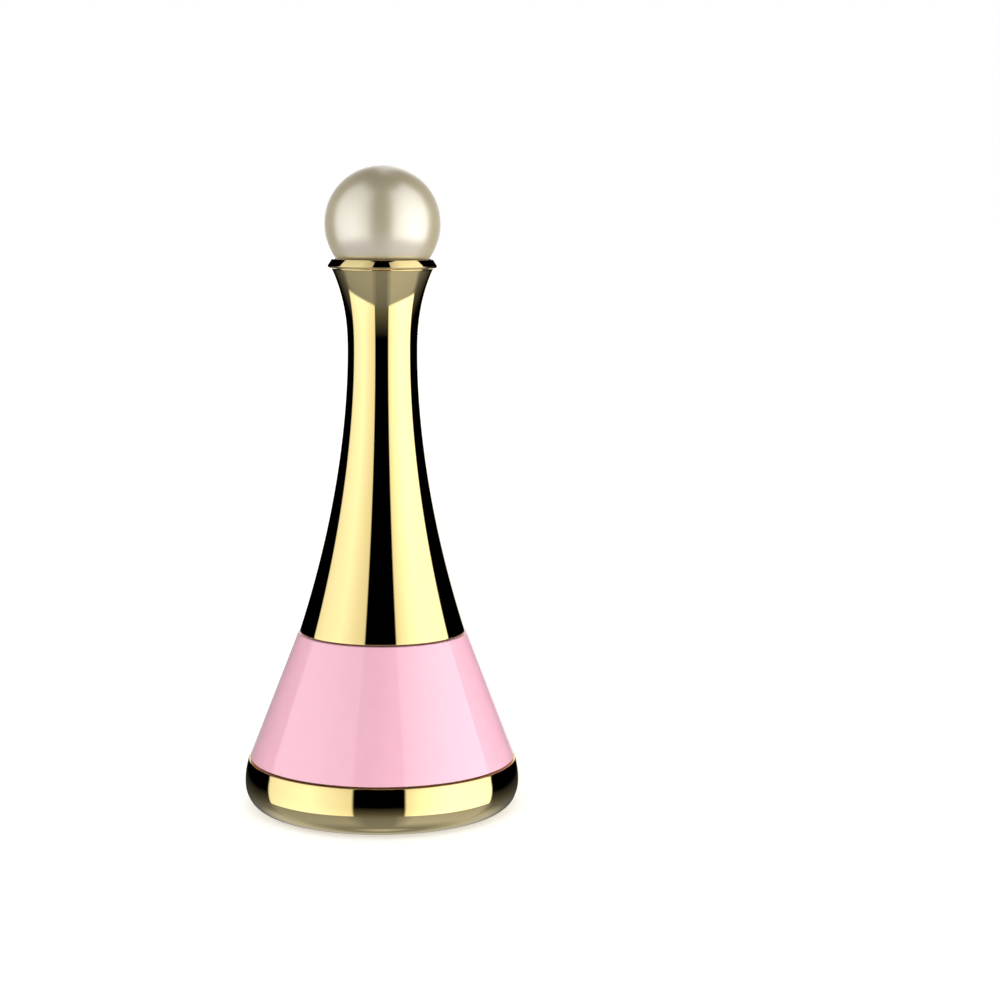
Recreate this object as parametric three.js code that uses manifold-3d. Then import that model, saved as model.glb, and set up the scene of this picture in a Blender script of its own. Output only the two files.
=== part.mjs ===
// Ionic eye massager: a slim battery handle with a pearl push button on top and a ridged
// contact plate in its foot. Millimetres, +Z up. The origin lies on the axis, in the plane that
// the foot stands on.

import * as THREE from 'three';
import { mergeVertices } from 'three/addons/utils/BufferGeometryUtils.js';
import Module from 'manifold-3d';

const wasm = await Module();
wasm.setup();

// Fits that many pieces share
const slipGap = 0.3;
const coaxialGap = 0.2;
const seamGap = 0.25;
const cutOverrun = 1;

// Fineness of the round pieces, in sides
const outsideSideCount = 40;
const insideSideCount = 16;
const smallSideCount = 12;
const wireSideCount = 6;

// Contact plate and its raised pattern
const plateRadius = 14;
const plateThickness = 1;
const plateRecess = 0.5;
const plateEdgeBevel = 0.2;
const studRadius = 1.5;
const studHeight = 3.1;
const reliefPetalCount = 6;
const dotCircleShare = 0.456;
const dotRadius = 1.36;
const dotHeight = 0.42;
const centreDotRadius = 2.65;
const centreDotHeight = 0.3;
const petalCircleShare = 0.66;
const petalRadius = 3.15;
const petalHalfAngle = THREE.MathUtils.degToRad(100);
const petalRidgeWidth = 1.2;
const petalRidgeHeight = 0.45;
const petalStepCount = 12;
const petalEndShares = [0.45, 0.85];

// White insulating ring, a shallow dish that carries the plate
const whiteRingWidth = 2.75;
const whiteRingRecess = 0.3;
const whiteRingBevel = 0.2;
const dishFloorThickness = 0.8;
const sealWidth = 0.7;
const sealHeight = 0.6;
const sealInset = 0.85;

// Foot ring
const landWidth = 0.55;
const footBulge = 3.5;
const footWidestShare = 0.54;
const footCurveShare = 2.2;
const footTopInset = 0.55;
const footCurveStepCount = 7;
const footTopStepCount = 3;
const webThickness = 1.4;
const webHoleGap = 0.7;

// Circuit board and what is soldered to it
const componentRoom = 2.3;
const boardThickness = 1;
const boardMargin = 2.4;
const boardRibWidth = 0.8;
const boardRibHeight = 0.4;
const chipWidth = 5;
const chipHeight = 1;
const chipPlaceShares = [-0.36, 0.36];
const inductorRadius = 2.8;
const inductorHeight = 1.8;
const inductorPlaceShares = [0.48, 0];
const capacitorLength = 3.2;
const capacitorWidth = 1.6;
const capacitorHeight = 1.5;
const capacitorPlaceShares = [[-0.1, -0.35], [-0.1, -0.52]];
const pinRadius = 1.1;
const pinTipRadius = 0.7;
const pinTipLength = 0.4;

// Screws that hold the foot ring to the frame
const screwCount = 3;
const screwFirstAngle = THREE.MathUtils.degToRad(60);
const screwHeadRadius = 1.6;
const screwHeadHeight = 0.7;
const screwHeadSink = 0.1;
const screwShankRadius = 0.8;
const screwLength = 4;
const screwDriveRadius = 0.7;
const screwDriveDepth = 0.35;
const bossRadius = 2.3;
const bossMargin = 0.3;

// Cell, positive end down
const cellRadius = 5.25;
const cellLength = 43.7;
const cellEdgeBevel = 0.5;
const nubRadius = 1.9;
const nubHeight = 0.8;
const cellTopGap = 0.4;
const cellContactRadius = 3.6;
const cellContactThickness = 0.4;
const cellTabWidth = 1.6;
const cellTabPlaceShare = 0.7;

// Inner frame: floor, cell tube, shoulder and threaded neck
const floorThickness = 1.2;
const flangeSeat = 0.9;
const tubeGap = 0.35;
const tubeWall = 1;
const neckWall = 2;
const shoulderThickness = 1;
const shoulderDrop = 1.4;
const shoulderInset = 1;
const neckPlainHeight = 2.25;
const neckEndHeight = 0.7;
const threadPitch = 2;
const threadTurnCount = 2.5;
const threadDepth = 0.7;
const threadTipWidth = 0.5;
const threadRootWidth = 0.95;
const threadBite = 0.3;
const threadStepCount = 16;
const sealRingThickness = 1;
const sealRingSink = 0.2;

// Sleeve with the inner thread, and the contact ring that it turns down on
const sleeveFootWall = 2.9;
const sleeveLift = 0.1;
const sleeveStepCount = 3;
const contactRingWidth = 0.8;
const leadRadius = 0.45;
const leadAngle = THREE.MathUtils.degToRad(120);

// Band
const bandWall = 0.9;
const bandHeight = 19.15;
const bandStep = 0.2;
const bandEdgeBevel = 0.2;
const bandLipThickness = 1;

// Handle shell
const handleWall = 0.8;
const footFlareShare = 1.86;
const topFlareShare = 2.36;
const topFlareSpread = 2.4;
const footFlareStepCount = 8;
const topFlareStepCount = 6;
const boreFootStepCount = 5;
const boreTopStepCount = 4;

// Switch unit in the waist
const switchRadius = 3.05;
const switchHeight = 9.4;
const carrierWall = 0.8;
const carrierLedgeWidth = 0.8;
const carrierLedgeHeight = 1.6;
const tailContactThickness = 1;
const contactSpringLength = 7.6;
const contactSpringWire = 0.6;
const contactSpringFootRadius = 3.6;
const contactSpringTopRadius = 2;
const contactSpringTurnCount = 5;
const plungerRadius = 1.1;
const plungerLength = 6.7;
const plungerClipRoom = 2;

// Push button: stem, clip, bush, return spring, collar and pearl
const buttonTravel = 0.45;
const stemRadius = 1.6;
const stemHeadRadius = 4.5;
const stemHeadThickness = 0.8;
const stemSocketDepth = 3.4;
const clipGrooveDepth = 0.4;
const clipThickness = 0.6;
const clipGap = 0.1;
const clipWidth = 1.25;
const clipHalfOpening = THREE.MathUtils.degToRad(45);
const switchToBushHeight = 4.7;
const bushFloorThickness = 1.3;
const bushHeight = 4.8;
const bushStepCount = 3;
const returnSpringWire = 0.44;
const returnSpringTurnCount = 4;
const springEndGap = 0.04;
const collarSpigotHeight = 0.9;
const collarSpigotWall = 0.56;
const collarShelfDrop = 0.1;
const collarHeight = 1.35;
const collarLipOverhang = 0.6;
const collarLipHeightShare = 0.27;
const collarTopInset = 0.04;
const collarLipBevel = 0.12;
const collarUndersideInset = 0.36;
const pearlRadius = 8.66;
const pearlSeatInset = 0.7;
const pearlFlatHeight = 0.7;
const pearlClearance = 0.15;
const pearlSideCount = 32;
const pearlStepCount = 12;
const cupStepCount = 2;
const springStepCount = 8;
const springSideCount = 5;

// Vibration motor beside the cell
const motorRadius = 3;
const motorLength = 8.6;
const motorCapHeight = 1;
const motorBossRadius = 1.2;
const motorBossHeight = 0.5;
const motorBoreDepth = 5.5;
const motorSleeveWall = 0.7;
const motorSleeveHeight = 6;
const motorToTubeGap = 0.4;
const shaftRadius = 0.4;
const shaftOut = 4;
const weightRadius = 2.3;
const weightHubRadius = 1;
const weightHalfAngle = THREE.MathUtils.degToRad(80);
const weightHeight = 3;
const weightLift = 0.5;
const weightBoreGap = 0.1;
const motorLeadRadius = 0.35;
const motorLeadPitch = 1.6;
const motorLeadSplay = 0.5;
const motorLeadHoleRadius = 2;
const motorLeadStepCount = 4;

// Heights of the foot, from the standing plane up
const dishFloorZ = plateRecess + plateThickness;
const webZ = dishFloorZ + dishFloorThickness;
const webTopZ = webZ + webThickness;
const boardZ = webTopZ + componentRoom;
const boardTopZ = boardZ + boardThickness;
const footTopZ = boardTopZ + boardRibHeight;
const floorTopZ = footTopZ + floorThickness;
const footWidestZ = footTopZ * footWidestShare;

// Heights of the band and the neck
const bandFootZ = footTopZ + seamGap;
const bandTopZ = bandFootZ + bandHeight;
const handleFootZ = bandTopZ + seamGap;
const shoulderTopZ = bandTopZ - bandLipThickness;
const sleeveFootZ = handleFootZ + sleeveLift;
const threadFootZ = handleFootZ + neckPlainHeight;
const threadTopZ = threadFootZ + threadPitch * threadTurnCount;
const neckTopZ = threadTopZ + neckEndHeight;

// Heights of the cell and the switch unit
const cellContactTopZ = floorTopZ + cellContactThickness;
const cellFootZ = cellContactTopZ + nubHeight;
const cellTopZ = cellFootZ + cellLength;
const tailContactZ = cellTopZ + contactSpringLength;
const carrierFootZ = tailContactZ - carrierLedgeHeight;
const switchFootZ = tailContactZ + tailContactThickness;
const switchTopZ = switchFootZ + switchHeight;
const bushFootZ = switchTopZ + switchToBushHeight;
const bushTopZ = bushFootZ + bushHeight;
const handleTopZ = bushTopZ + collarSpigotHeight;
const stemFootZ = bushFootZ - plungerClipRoom;

// Radii of the foot, from the plate outwards
const dishPocketRadius = plateRadius + coaxialGap;
const whiteRingRadius = plateRadius + whiteRingWidth;
const openingRadius = whiteRingRadius + coaxialGap;
const landRadius = openingRadius + landWidth;
const footRadius = landRadius + footBulge;
const footTopRadius = footRadius - footTopInset;
const bandFootRadius = footTopRadius - bandStep;

// Radii of the neck and the handle, from the cell outwards
const tubeBoreRadius = cellRadius + tubeGap;
const tubeRadius = tubeBoreRadius + tubeWall;
const threadRootRadius = tubeBoreRadius + neckWall;
const threadTipRadius = threadRootRadius + threadDepth;
const sleeveBoreRadius = threadTipRadius + slipGap;
const sleeveTipRadius = sleeveBoreRadius - threadDepth;
const handleFootRadius = sleeveBoreRadius + sleeveFootWall + slipGap + handleWall;
const bandTopRadius = handleFootRadius + bandStep;
const contactRingRadius = sleeveBoreRadius + contactRingWidth;
const shoulderRadius = bandTopRadius - bandWall - shoulderInset;
const leadCircleRadius = (sleeveBoreRadius + contactRingRadius) / 2;

// Radii of the waist, from the switch outwards
const carrierBoreRadius = switchRadius + slipGap;
const carrierRadius = carrierBoreRadius + carrierWall;
const waistRadius = carrierRadius + slipGap + handleWall;
const handleTopRadius = waistRadius + topFlareSpread;

// The waist lies where the flare leaves room round the top of the cell
const cellTopOutsideRadius = cellRadius + cellTopGap + handleWall;
const cellTopSpreadShare = (cellTopOutsideRadius - waistRadius) / (handleFootRadius - waistRadius);
const cellTopHeightShare = 1 - cellTopSpreadShare ** (1 / footFlareShare);
const waistZ = handleFootZ + (cellTopZ - handleFootZ) / cellTopHeightShare;

// Collar and pearl
const collarTopZ = handleTopZ + collarHeight;
const collarTopRadius = handleTopRadius - collarTopInset;
const collarShelfZ = handleTopZ - collarShelfDrop;
const pearlSeatRadius = collarTopRadius - pearlSeatInset;
const pearlCentreZ = collarTopZ + Math.sqrt(pearlRadius ** 2 - pearlSeatRadius ** 2);
const pearlFlatZ = handleTopZ + pearlFlatHeight;
const stemHeadZ = pearlFlatZ - stemHeadThickness;

// Frame, foot ring and board fit inside the band's foot
const frameRadius = bandRadiusAt(floorTopZ) - bandWall - slipGap;
const footBoreRadius = frameRadius - flangeSeat;
const boardRadius = footBoreRadius - boardMargin;
const boardRibBoreRadius = boardRadius - boardRibWidth;
const bossCircleRadius = boardRibBoreRadius - bossMargin - bossRadius;
const screwHoleRadius = screwShankRadius + slipGap;
const motorSleeveRadius = motorRadius + coaxialGap + motorSleeveWall;
const motorCircleRadius = tubeRadius + motorToTubeGap + motorSleeveRadius;

// Finishes
const mirrorGold = finish(0xe6d49c, 0.08, 1);
const satinGold = finish(0xdccba0, 0.35, 1);
const pinkGloss = finish(0xf6bccd, 0.12, 0);
const pearlWhite = finish(0xece4d2, 0.18, 0.1);
const whitePlastic = finish(0xececec, 0.4, 0);
const blackPlastic = finish(0x26262a, 0.5, 0);
const ivoryPlastic = finish(0xd8d2c4, 0.5, 0);
const steel = finish(0xb9bcc0, 0.3, 1);
const brass = finish(0xc8a24a, 0.3, 1);
const nickel = finish(0xcfd0d2, 0.25, 1);
const rubber = finish(0x2a2a2a, 0.8, 0);
const boardGreen = finish(0x1f5c3a, 0.5, 0);
const cellLabel = finish(0x2f4f7a, 0.4, 0.2);
const redWire = finish(0xb02020, 0.5, 0);
const blackWire = finish(0x202020, 0.5, 0);
const ferrite = finish(0x4a4a4e, 0.6, 0);
const ceramicTan = finish(0xb59468, 0.5, 0);

function finish(color, roughness, metalness) {
  return new THREE.MeshStandardMaterial({ color, roughness, metalness });
}

// Radius of the band's cone at a height
function bandRadiusAt(z) {
  const rise = (z - bandFootZ) / (bandTopZ - bandFootZ);
  return THREE.MathUtils.lerp(bandFootRadius, bandTopRadius, rise);
}

// Radius of the handle's outside at a height: two flares that meet at the waist
function handleRadiusAt(z) {
  if (z < waistZ) {
    const drop = (waistZ - z) / (waistZ - handleFootZ);
    return waistRadius + (handleFootRadius - waistRadius) * drop ** footFlareShare;
  }
  const rise = (z - waistZ) / (handleTopZ - waistZ);
  return waistRadius + (handleTopRadius - waistRadius) * rise ** topFlareShare;
}

function handleBoreAt(z) {
  return handleRadiusAt(z) - handleWall;
}

// Radius of the pearl's outside at a height, for a centre at another height
function pearlRadiusAt(z, centreZ) {
  return Math.sqrt(pearlRadius ** 2 - (z - centreZ) ** 2);
}

// Heights from one level to another in equal steps, both ends included
function levels(fromZ, toZ, stepCount) {
  const list = [];
  for (let step = 0; step <= stepCount; step += 1) {
    list.push(THREE.MathUtils.lerp(fromZ, toZ, step / stepCount));
  }
  return list;
}

// Signed volume, positive when the faces point out
function signedVolume(geometry) {
  const position = geometry.attributes.position;
  const index = geometry.index;
  const corner = [new THREE.Vector3(), new THREE.Vector3(), new THREE.Vector3()];
  let sum = 0;
  for (let face = 0; face < index.count; face += 3) {
    for (let at = 0; at < 3; at += 1) {
      corner[at].fromBufferAttribute(position, index.getX(face + at));
    }
    sum += corner[0].dot(corner[1].cross(corner[2]));
  }
  return sum / 6;
}

// A geometry of merged corners and whole triangles, with its faces pointing out
function tidy(geometry) {
  geometry.deleteAttribute('normal');
  geometry.deleteAttribute('uv');
  const merged = mergeVertices(geometry);
  const index = merged.index;
  const faces = [];
  for (let face = 0; face < index.count; face += 3) {
    const [a, b, c] = [index.getX(face), index.getX(face + 1), index.getX(face + 2)];
    if (a !== b && b !== c && c !== a) {
      faces.push(a, b, c);
    }
  }
  merged.setIndex(faces);
  if (signedVolume(merged) < 0) {
    merged.setIndex(faces.reverse());
  }
  return merged;
}

// A solid turned from an outline of [radius, height] points
function turned(outline, sideCount) {
  const points = outline.map(([radius, z]) => new THREE.Vector2(radius, z));
  if (outline[0][0] > 0) {
    points.push(points[0].clone());
  }
  const geometry = new THREE.LatheGeometry(points, sideCount);
  geometry.rotateX(Math.PI / 2);
  return tidy(geometry);
}

// A solid stretched over a row of rings with the same number of points, flat at both ends
function skinned(rings) {
  const sideCount = rings[0].length;
  const corners = [];
  for (const ring of rings) {
    for (const point of ring) {
      corners.push(point.x, point.y, point.z);
    }
  }
  const faces = [];
  for (let row = 0; row < rings.length - 1; row += 1) {
    for (let side = 0; side < sideCount; side += 1) {
      const here = row * sideCount + side;
      const beside = row * sideCount + ((side + 1) % sideCount);
      faces.push(here, beside, beside + sideCount);
      faces.push(here, beside + sideCount, here + sideCount);
    }
  }
  const last = (rings.length - 1) * sideCount;
  for (let side = 1; side < sideCount - 1; side += 1) {
    faces.push(0, side + 1, side);
    faces.push(last, last + side, last + side + 1);
  }
  const geometry = new THREE.BufferGeometry();
  geometry.setAttribute('position', new THREE.Float32BufferAttribute(corners, 3));
  geometry.setIndex(faces);
  return tidy(geometry);
}

// A point at a radius, an angle and a height
function polar(radius, angle, z) {
  return new THREE.Vector3(radius * Math.cos(angle), radius * Math.sin(angle), z);
}

// A flat plate cut to a shape, from z = 0 up
function plate(shape, thickness, curveSegments) {
  const depth = thickness;
  return tidy(new THREE.ExtrudeGeometry(shape, { depth, bevelEnabled: false, curveSegments }));
}

function disc(radius) {
  return new THREE.Shape().absarc(0, 0, radius, 0, 2 * Math.PI);
}

function block(width, depth, height) {
  return tidy(new THREE.BoxGeometry(width, depth, height));
}

// A round bar with its axis along Z, centred on the origin
function bar(radius, height, sideCount) {
  const geometry = new THREE.CylinderGeometry(radius, radius, height, sideCount);
  geometry.rotateX(Math.PI / 2);
  return tidy(geometry);
}

function toSolid(geometry) {
  const vertProperties = new Float32Array(geometry.attributes.position.array);
  const triVerts = new Uint32Array(geometry.index.array);
  return new wasm.Manifold(new wasm.Mesh({ numProp: 3, vertProperties, triVerts }));
}

function toGeometry(solid) {
  const mesh = solid.getMesh();
  const geometry = new THREE.BufferGeometry();
  geometry.setAttribute('position', new THREE.BufferAttribute(mesh.vertProperties, 3));
  geometry.setIndex(new THREE.BufferAttribute(mesh.triVerts, 1));
  return geometry;
}

// One body joined from a first geometry, what is added to it and what is cut from it
function carved(first, added, cut) {
  let solid = toSolid(first);
  for (const geometry of added) {
    solid = solid.add(toSolid(geometry));
  }
  for (const geometry of cut) {
    solid = solid.subtract(toSolid(geometry));
  }
  return toGeometry(solid);
}

function moved(geometry, x, y, z) {
  return geometry.clone().translate(x, y, z);
}

// A round hole through everything between two heights, at a place in plan
function drill(radius, place, fromZ, toZ) {
  const hole = bar(radius, toZ - fromZ, smallSideCount);
  return moved(hole, place.x, place.y, (fromZ + toZ) / 2);
}

// Angles of a number of like things spread round the axis
function around(count, firstAngle) {
  return Array.from({ length: count }, (_, at) => firstAngle + (2 * Math.PI * at) / count);
}

// A wire wound on a cone or cylinder, as one tube
function helicalSpring(footZ, topZ, footCoilRadius, topCoilRadius, wire, turnCount) {
  const wireRadius = wire / 2;
  const lowZ = footZ + wireRadius + springEndGap;
  const highZ = topZ - wireRadius - springEndGap;
  const stepCount = turnCount * springStepCount;
  const rings = [];
  for (let step = 0; step <= stepCount; step += 1) {
    const along = step / stepCount;
    const angle = 2 * Math.PI * turnCount * along;
    const coilRadius = THREE.MathUtils.lerp(footCoilRadius, topCoilRadius, along);
    const z = THREE.MathUtils.lerp(lowZ, highZ, along);
    rings.push(around(springSideCount, 0).map((turn) => polar(
      coilRadius + wireRadius * Math.cos(turn), angle, z + wireRadius * Math.sin(turn),
    )));
  }
  return skinned(rings);
}

// One screw-thread ridge between a buried root and a tip, as one tube
function threadRidge(buriedRadius, rootRadius, tipRadius, footZ) {
  const halfRoot = threadRootWidth / 2;
  const halfTip = threadTipWidth / 2;
  const stepCount = threadTurnCount * threadStepCount;
  const rings = [];
  for (let step = 0; step <= stepCount; step += 1) {
    const angle = (2 * Math.PI * step) / threadStepCount;
    const z = footZ + (threadPitch * step) / threadStepCount;
    rings.push([
      polar(buriedRadius, angle, z - halfRoot),
      polar(rootRadius, angle, z - halfRoot),
      polar(tipRadius, angle, z - halfTip),
      polar(tipRadius, angle, z + halfTip),
      polar(rootRadius, angle, z + halfRoot),
      polar(buriedRadius, angle, z + halfRoot),
    ]);
  }
  return skinned(rings);
}

// A low dome, flat side up, that stands out below the plate's face
function reliefDome(radius, height, x, y, sideCount) {
  const dome = new THREE.SphereGeometry(1, sideCount, Math.round(sideCount / 2));
  dome.rotateX(Math.PI / 2);
  dome.scale(radius, radius, height);
  return moved(tidy(dome), x, y, plateRecess);
}

// One petal of the pattern: a round ridge on an arc that is open towards the plate's centre
function reliefPetal(direction) {
  const centre = polar(plateRadius * petalCircleShare, direction, plateRecess);
  const halfWidth = petalRidgeWidth / 2;
  const rings = [];
  for (let step = 0; step <= petalStepCount; step += 1) {
    const turn = THREE.MathUtils.lerp(-petalHalfAngle, petalHalfAngle, step / petalStepCount);
    const fromEnd = Math.min(step, petalStepCount - step);
    const size = petalEndShares[fromEnd] ?? 1;
    rings.push(around(wireSideCount, 0).map((side) => {
      const reach = petalRadius + halfWidth * size * Math.cos(side);
      const drop = petalRidgeHeight * size * Math.sin(side);
      return polar(reach, direction + turn, drop).add(centre);
    }));
  }
  return skinned(rings);
}

// Plate with its stud, domes and petals: one pressed and plated piece
function electrodePlate() {
  const backZ = plateRecess + plateThickness;
  const disk = turned([
    [0, plateRecess],
    [plateRadius - plateEdgeBevel, plateRecess],
    [plateRadius, plateRecess + plateEdgeBevel],
    [plateRadius, backZ],
    [studRadius, backZ],
    [studRadius, backZ + studHeight],
    [0, backZ + studHeight],
  ], outsideSideCount);
  const raised = [reliefDome(centreDotRadius, centreDotHeight, 0, 0, smallSideCount)];
  for (const direction of around(reliefPetalCount, 0)) {
    const dot = polar(plateRadius * dotCircleShare, direction, 0);
    raised.push(reliefDome(dotRadius, dotHeight, dot.x, dot.y, smallSideCount));
    raised.push(reliefPetal(direction));
  }
  return carved(disk, raised, []);
}

// White dish: a flat rim round the plate, a floor behind it, a groove for the seal
function insulatingRing() {
  const grooveRadius = whiteRingRadius - sealInset;
  const grooveBoreRadius = grooveRadius - sealWidth - 2 * coaxialGap;
  const grooveZ = webZ - sealHeight;
  return turned([
    [dishPocketRadius, dishFloorZ],
    [dishPocketRadius, whiteRingRecess + whiteRingBevel],
    [dishPocketRadius + whiteRingBevel, whiteRingRecess],
    [whiteRingRadius - whiteRingBevel, whiteRingRecess],
    [whiteRingRadius, whiteRingRecess + whiteRingBevel],
    [whiteRingRadius, webZ],
    [grooveRadius, webZ],
    [grooveRadius, grooveZ - coaxialGap],
    [grooveBoreRadius, grooveZ - coaxialGap],
    [grooveBoreRadius, webZ],
    [studRadius + slipGap, webZ],
    [studRadius + slipGap, dishFloorZ],
  ], outsideSideCount);
}

function plateSeal() {
  const outerRadius = whiteRingRadius - sealInset - coaxialGap;
  return turned([
    [outerRadius, webZ - sealHeight],
    [outerRadius, webZ],
    [outerRadius - sealWidth, webZ],
    [outerRadius - sealWidth, webZ - sealHeight],
  ], outsideSideCount);
}

// Rounded outside of the foot, from the flat that it stands on up to the band
function footOutline() {
  const points = [[openingRadius, 0]];
  for (let step = 0; step <= footCurveStepCount; step += 1) {
    const turn = (Math.PI / 2) * (step / footCurveStepCount);
    const outShare = Math.sin(turn) ** (2 / footCurveShare);
    const downShare = Math.cos(turn) ** (2 / footCurveShare);
    points.push([landRadius + footBulge * outShare, footWidestZ * (1 - downShare)]);
  }
  for (let step = 1; step <= footTopStepCount; step += 1) {
    const rise = step / footTopStepCount;
    const z = THREE.MathUtils.lerp(footWidestZ, footTopZ, rise);
    points.push([footRadius - footTopInset * rise ** 2, z]);
  }
  return points;
}

function screwPlaces() {
  return around(screwCount, screwFirstAngle).map((angle) => polar(bossCircleRadius, angle, 0));
}

function footRing() {
  const shell = turned([
    ...footOutline(),
    [footBoreRadius, footTopZ],
    [footBoreRadius, webTopZ],
    [boardRadius, webTopZ],
    [boardRadius, boardZ],
    [boardRibBoreRadius, boardZ],
    [boardRibBoreRadius, webTopZ],
    [studRadius + webHoleGap, webTopZ],
    [studRadius + webHoleGap, webZ],
    [openingRadius, webZ],
  ], outsideSideCount);
  const seatZ = webZ + screwHeadSink + screwHeadHeight;
  const holes = [];
  for (const place of screwPlaces()) {
    holes.push(drill(screwHeadRadius + slipGap, place, webZ - cutOverrun, seatZ));
    holes.push(drill(screwHoleRadius, place, webZ, webTopZ + cutOverrun));
  }
  return carved(shell, [], holes);
}

// Pan-head screw that points up, with a socket in its head
function footScrew() {
  const headZ = webZ + screwHeadSink;
  const seatZ = headZ + screwHeadHeight;
  return turned([
    [0, headZ + screwDriveDepth],
    [screwDriveRadius, headZ + screwDriveDepth],
    [screwDriveRadius, headZ],
    [screwHeadRadius, headZ],
    [screwHeadRadius, seatZ],
    [screwShankRadius, seatZ],
    [screwShankRadius, seatZ + screwLength],
    [0, seatZ + screwLength],
  ], smallSideCount);
}

function circuitBoard() {
  const outline = disc(boardRadius);
  for (const place of screwPlaces()) {
    const hole = new THREE.Path();
    hole.absarc(place.x, place.y, bossRadius + slipGap, 0, 2 * Math.PI);
    outline.holes.push(hole);
  }
  return plate(outline, boardThickness, smallSideCount);
}

// Spring pin that brings the plate's stud to the board
function contactPin() {
  const tipZ = dishFloorZ + studHeight;
  return turned([
    [0, tipZ],
    [pinTipRadius, tipZ],
    [pinTipRadius, tipZ + pinTipLength],
    [pinRadius, tipZ + pinTipLength],
    [pinRadius, boardZ],
    [0, boardZ],
  ], smallSideCount);
}

// Frame: floor with ribs and screw bosses, tube round the cell, shoulder, threaded neck
function innerFrame() {
  const grooveZ = handleFootZ + neckPlainHeight / 2;
  const grooveHalf = sealRingThickness / 2 + clipGap;
  const grooveRadius = threadRootRadius - sealRingSink - coaxialGap;
  const body = turned([
    [0, footTopZ],
    [boardRibBoreRadius, footTopZ],
    [boardRibBoreRadius, boardTopZ],
    [boardRadius, boardTopZ],
    [boardRadius, footTopZ],
    [frameRadius, footTopZ],
    [frameRadius, floorTopZ],
    [tubeRadius, floorTopZ],
    [tubeRadius, shoulderTopZ - shoulderThickness - shoulderDrop],
    [shoulderRadius, shoulderTopZ - shoulderThickness],
    [shoulderRadius, shoulderTopZ],
    [threadRootRadius, shoulderTopZ],
    [threadRootRadius, grooveZ - grooveHalf],
    [grooveRadius, grooveZ - grooveHalf],
    [grooveRadius, grooveZ + grooveHalf],
    [threadRootRadius, grooveZ + grooveHalf],
    [threadRootRadius, neckTopZ],
    [tubeBoreRadius, neckTopZ],
    [tubeBoreRadius, floorTopZ],
    [0, floorTopZ],
  ], insideSideCount);
  const buriedRadius = threadRootRadius - threadBite;
  const added = [threadRidge(buriedRadius, threadRootRadius, threadTipRadius, threadFootZ)];
  const lead = polar(leadCircleRadius, leadAngle, 0);
  const tabRoom = block(cellContactThickness + 2 * slipGap, cellTabWidth + 2 * slipGap,
    floorThickness + 2 * cutOverrun);
  const tabX = cellContactRadius * cellTabPlaceShare;
  const cut = [
    moved(tabRoom, tabX, 0, (footTopZ + floorTopZ) / 2),
    drill(motorLeadHoleRadius, polar(motorCircleRadius, 0, 0), footTopZ - cutOverrun,
      floorTopZ + cutOverrun),
    drill(leadRadius + slipGap, lead, footTopZ - cutOverrun, shoulderTopZ + cutOverrun),
  ];
  for (const place of screwPlaces()) {
    added.push(drill(bossRadius, place, webTopZ, footTopZ + floorThickness / 2));
    cut.push(drill(screwHoleRadius, place, webTopZ - cutOverrun, footTopZ + floorThickness / 2));
  }
  return carved(body, added, cut);
}

// Rubber ring in the groove below the thread
function neckSeal() {
  const wireRadius = sealRingThickness / 2;
  const ringRadius = threadRootRadius - sealRingSink + wireRadius;
  const z = handleFootZ + neckPlainHeight / 2;
  const outline = around(wireSideCount, Math.PI / wireSideCount).map((turn) => [
    ringRadius + wireRadius * Math.cos(turn), z + wireRadius * Math.sin(turn),
  ]);
  return turned(outline, insideSideCount);
}

function contactRing() {
  return turned([
    [sleeveBoreRadius, shoulderTopZ],
    [contactRingRadius, shoulderTopZ],
    [contactRingRadius, sleeveFootZ],
    [sleeveBoreRadius, sleeveFootZ],
  ], insideSideCount);
}

function contactRingLead() {
  const length = shoulderTopZ - boardTopZ;
  return bar(leadRadius, length, wireSideCount);
}

// Sleeve bonded into the handle's foot, with the inner thread half a pitch from the outer one
function threadSleeve() {
  const heights = levels(sleeveFootZ, neckTopZ, sleeveStepCount);
  const outline = heights.map((z) => [handleBoreAt(z) - slipGap, z]);
  const body = turned([
    [sleeveBoreRadius, sleeveFootZ],
    ...outline,
    [sleeveBoreRadius, neckTopZ],
  ], insideSideCount);
  const buriedRadius = sleeveBoreRadius + threadBite;
  const ridgeZ = threadFootZ + threadPitch / 2;
  return carved(body, [threadRidge(buriedRadius, sleeveBoreRadius, sleeveTipRadius, ridgeZ)], []);
}

// Glossy cone between the foot and the handle, with a lip that sits on the frame's shoulder
function band() {
  const lipZ = bandTopZ - bandLipThickness;
  return turned([
    [bandFootRadius - bandWall, bandFootZ],
    [bandRadiusAt(bandFootZ) - bandEdgeBevel, bandFootZ],
    [bandRadiusAt(bandFootZ + bandEdgeBevel), bandFootZ + bandEdgeBevel],
    [bandRadiusAt(bandTopZ - bandEdgeBevel), bandTopZ - bandEdgeBevel],
    [bandTopRadius - bandEdgeBevel, bandTopZ],
    [contactRingRadius + slipGap, bandTopZ],
    [contactRingRadius + slipGap, lipZ],
    [bandRadiusAt(lipZ) - bandWall, lipZ],
  ], outsideSideCount);
}

function handleShell() {
  const outside = [
    ...levels(handleFootZ, waistZ, footFlareStepCount),
    ...levels(waistZ, handleTopZ, topFlareStepCount).slice(1),
  ].map((z) => [handleRadiusAt(z), z]);
  const bore = [
    ...levels(handleTopZ, waistZ, boreTopStepCount),
    ...levels(waistZ, handleFootZ, boreFootStepCount).slice(1),
  ].map((z) => [handleBoreAt(z), z]);
  return turned([...outside, ...bore], outsideSideCount);
}

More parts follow.
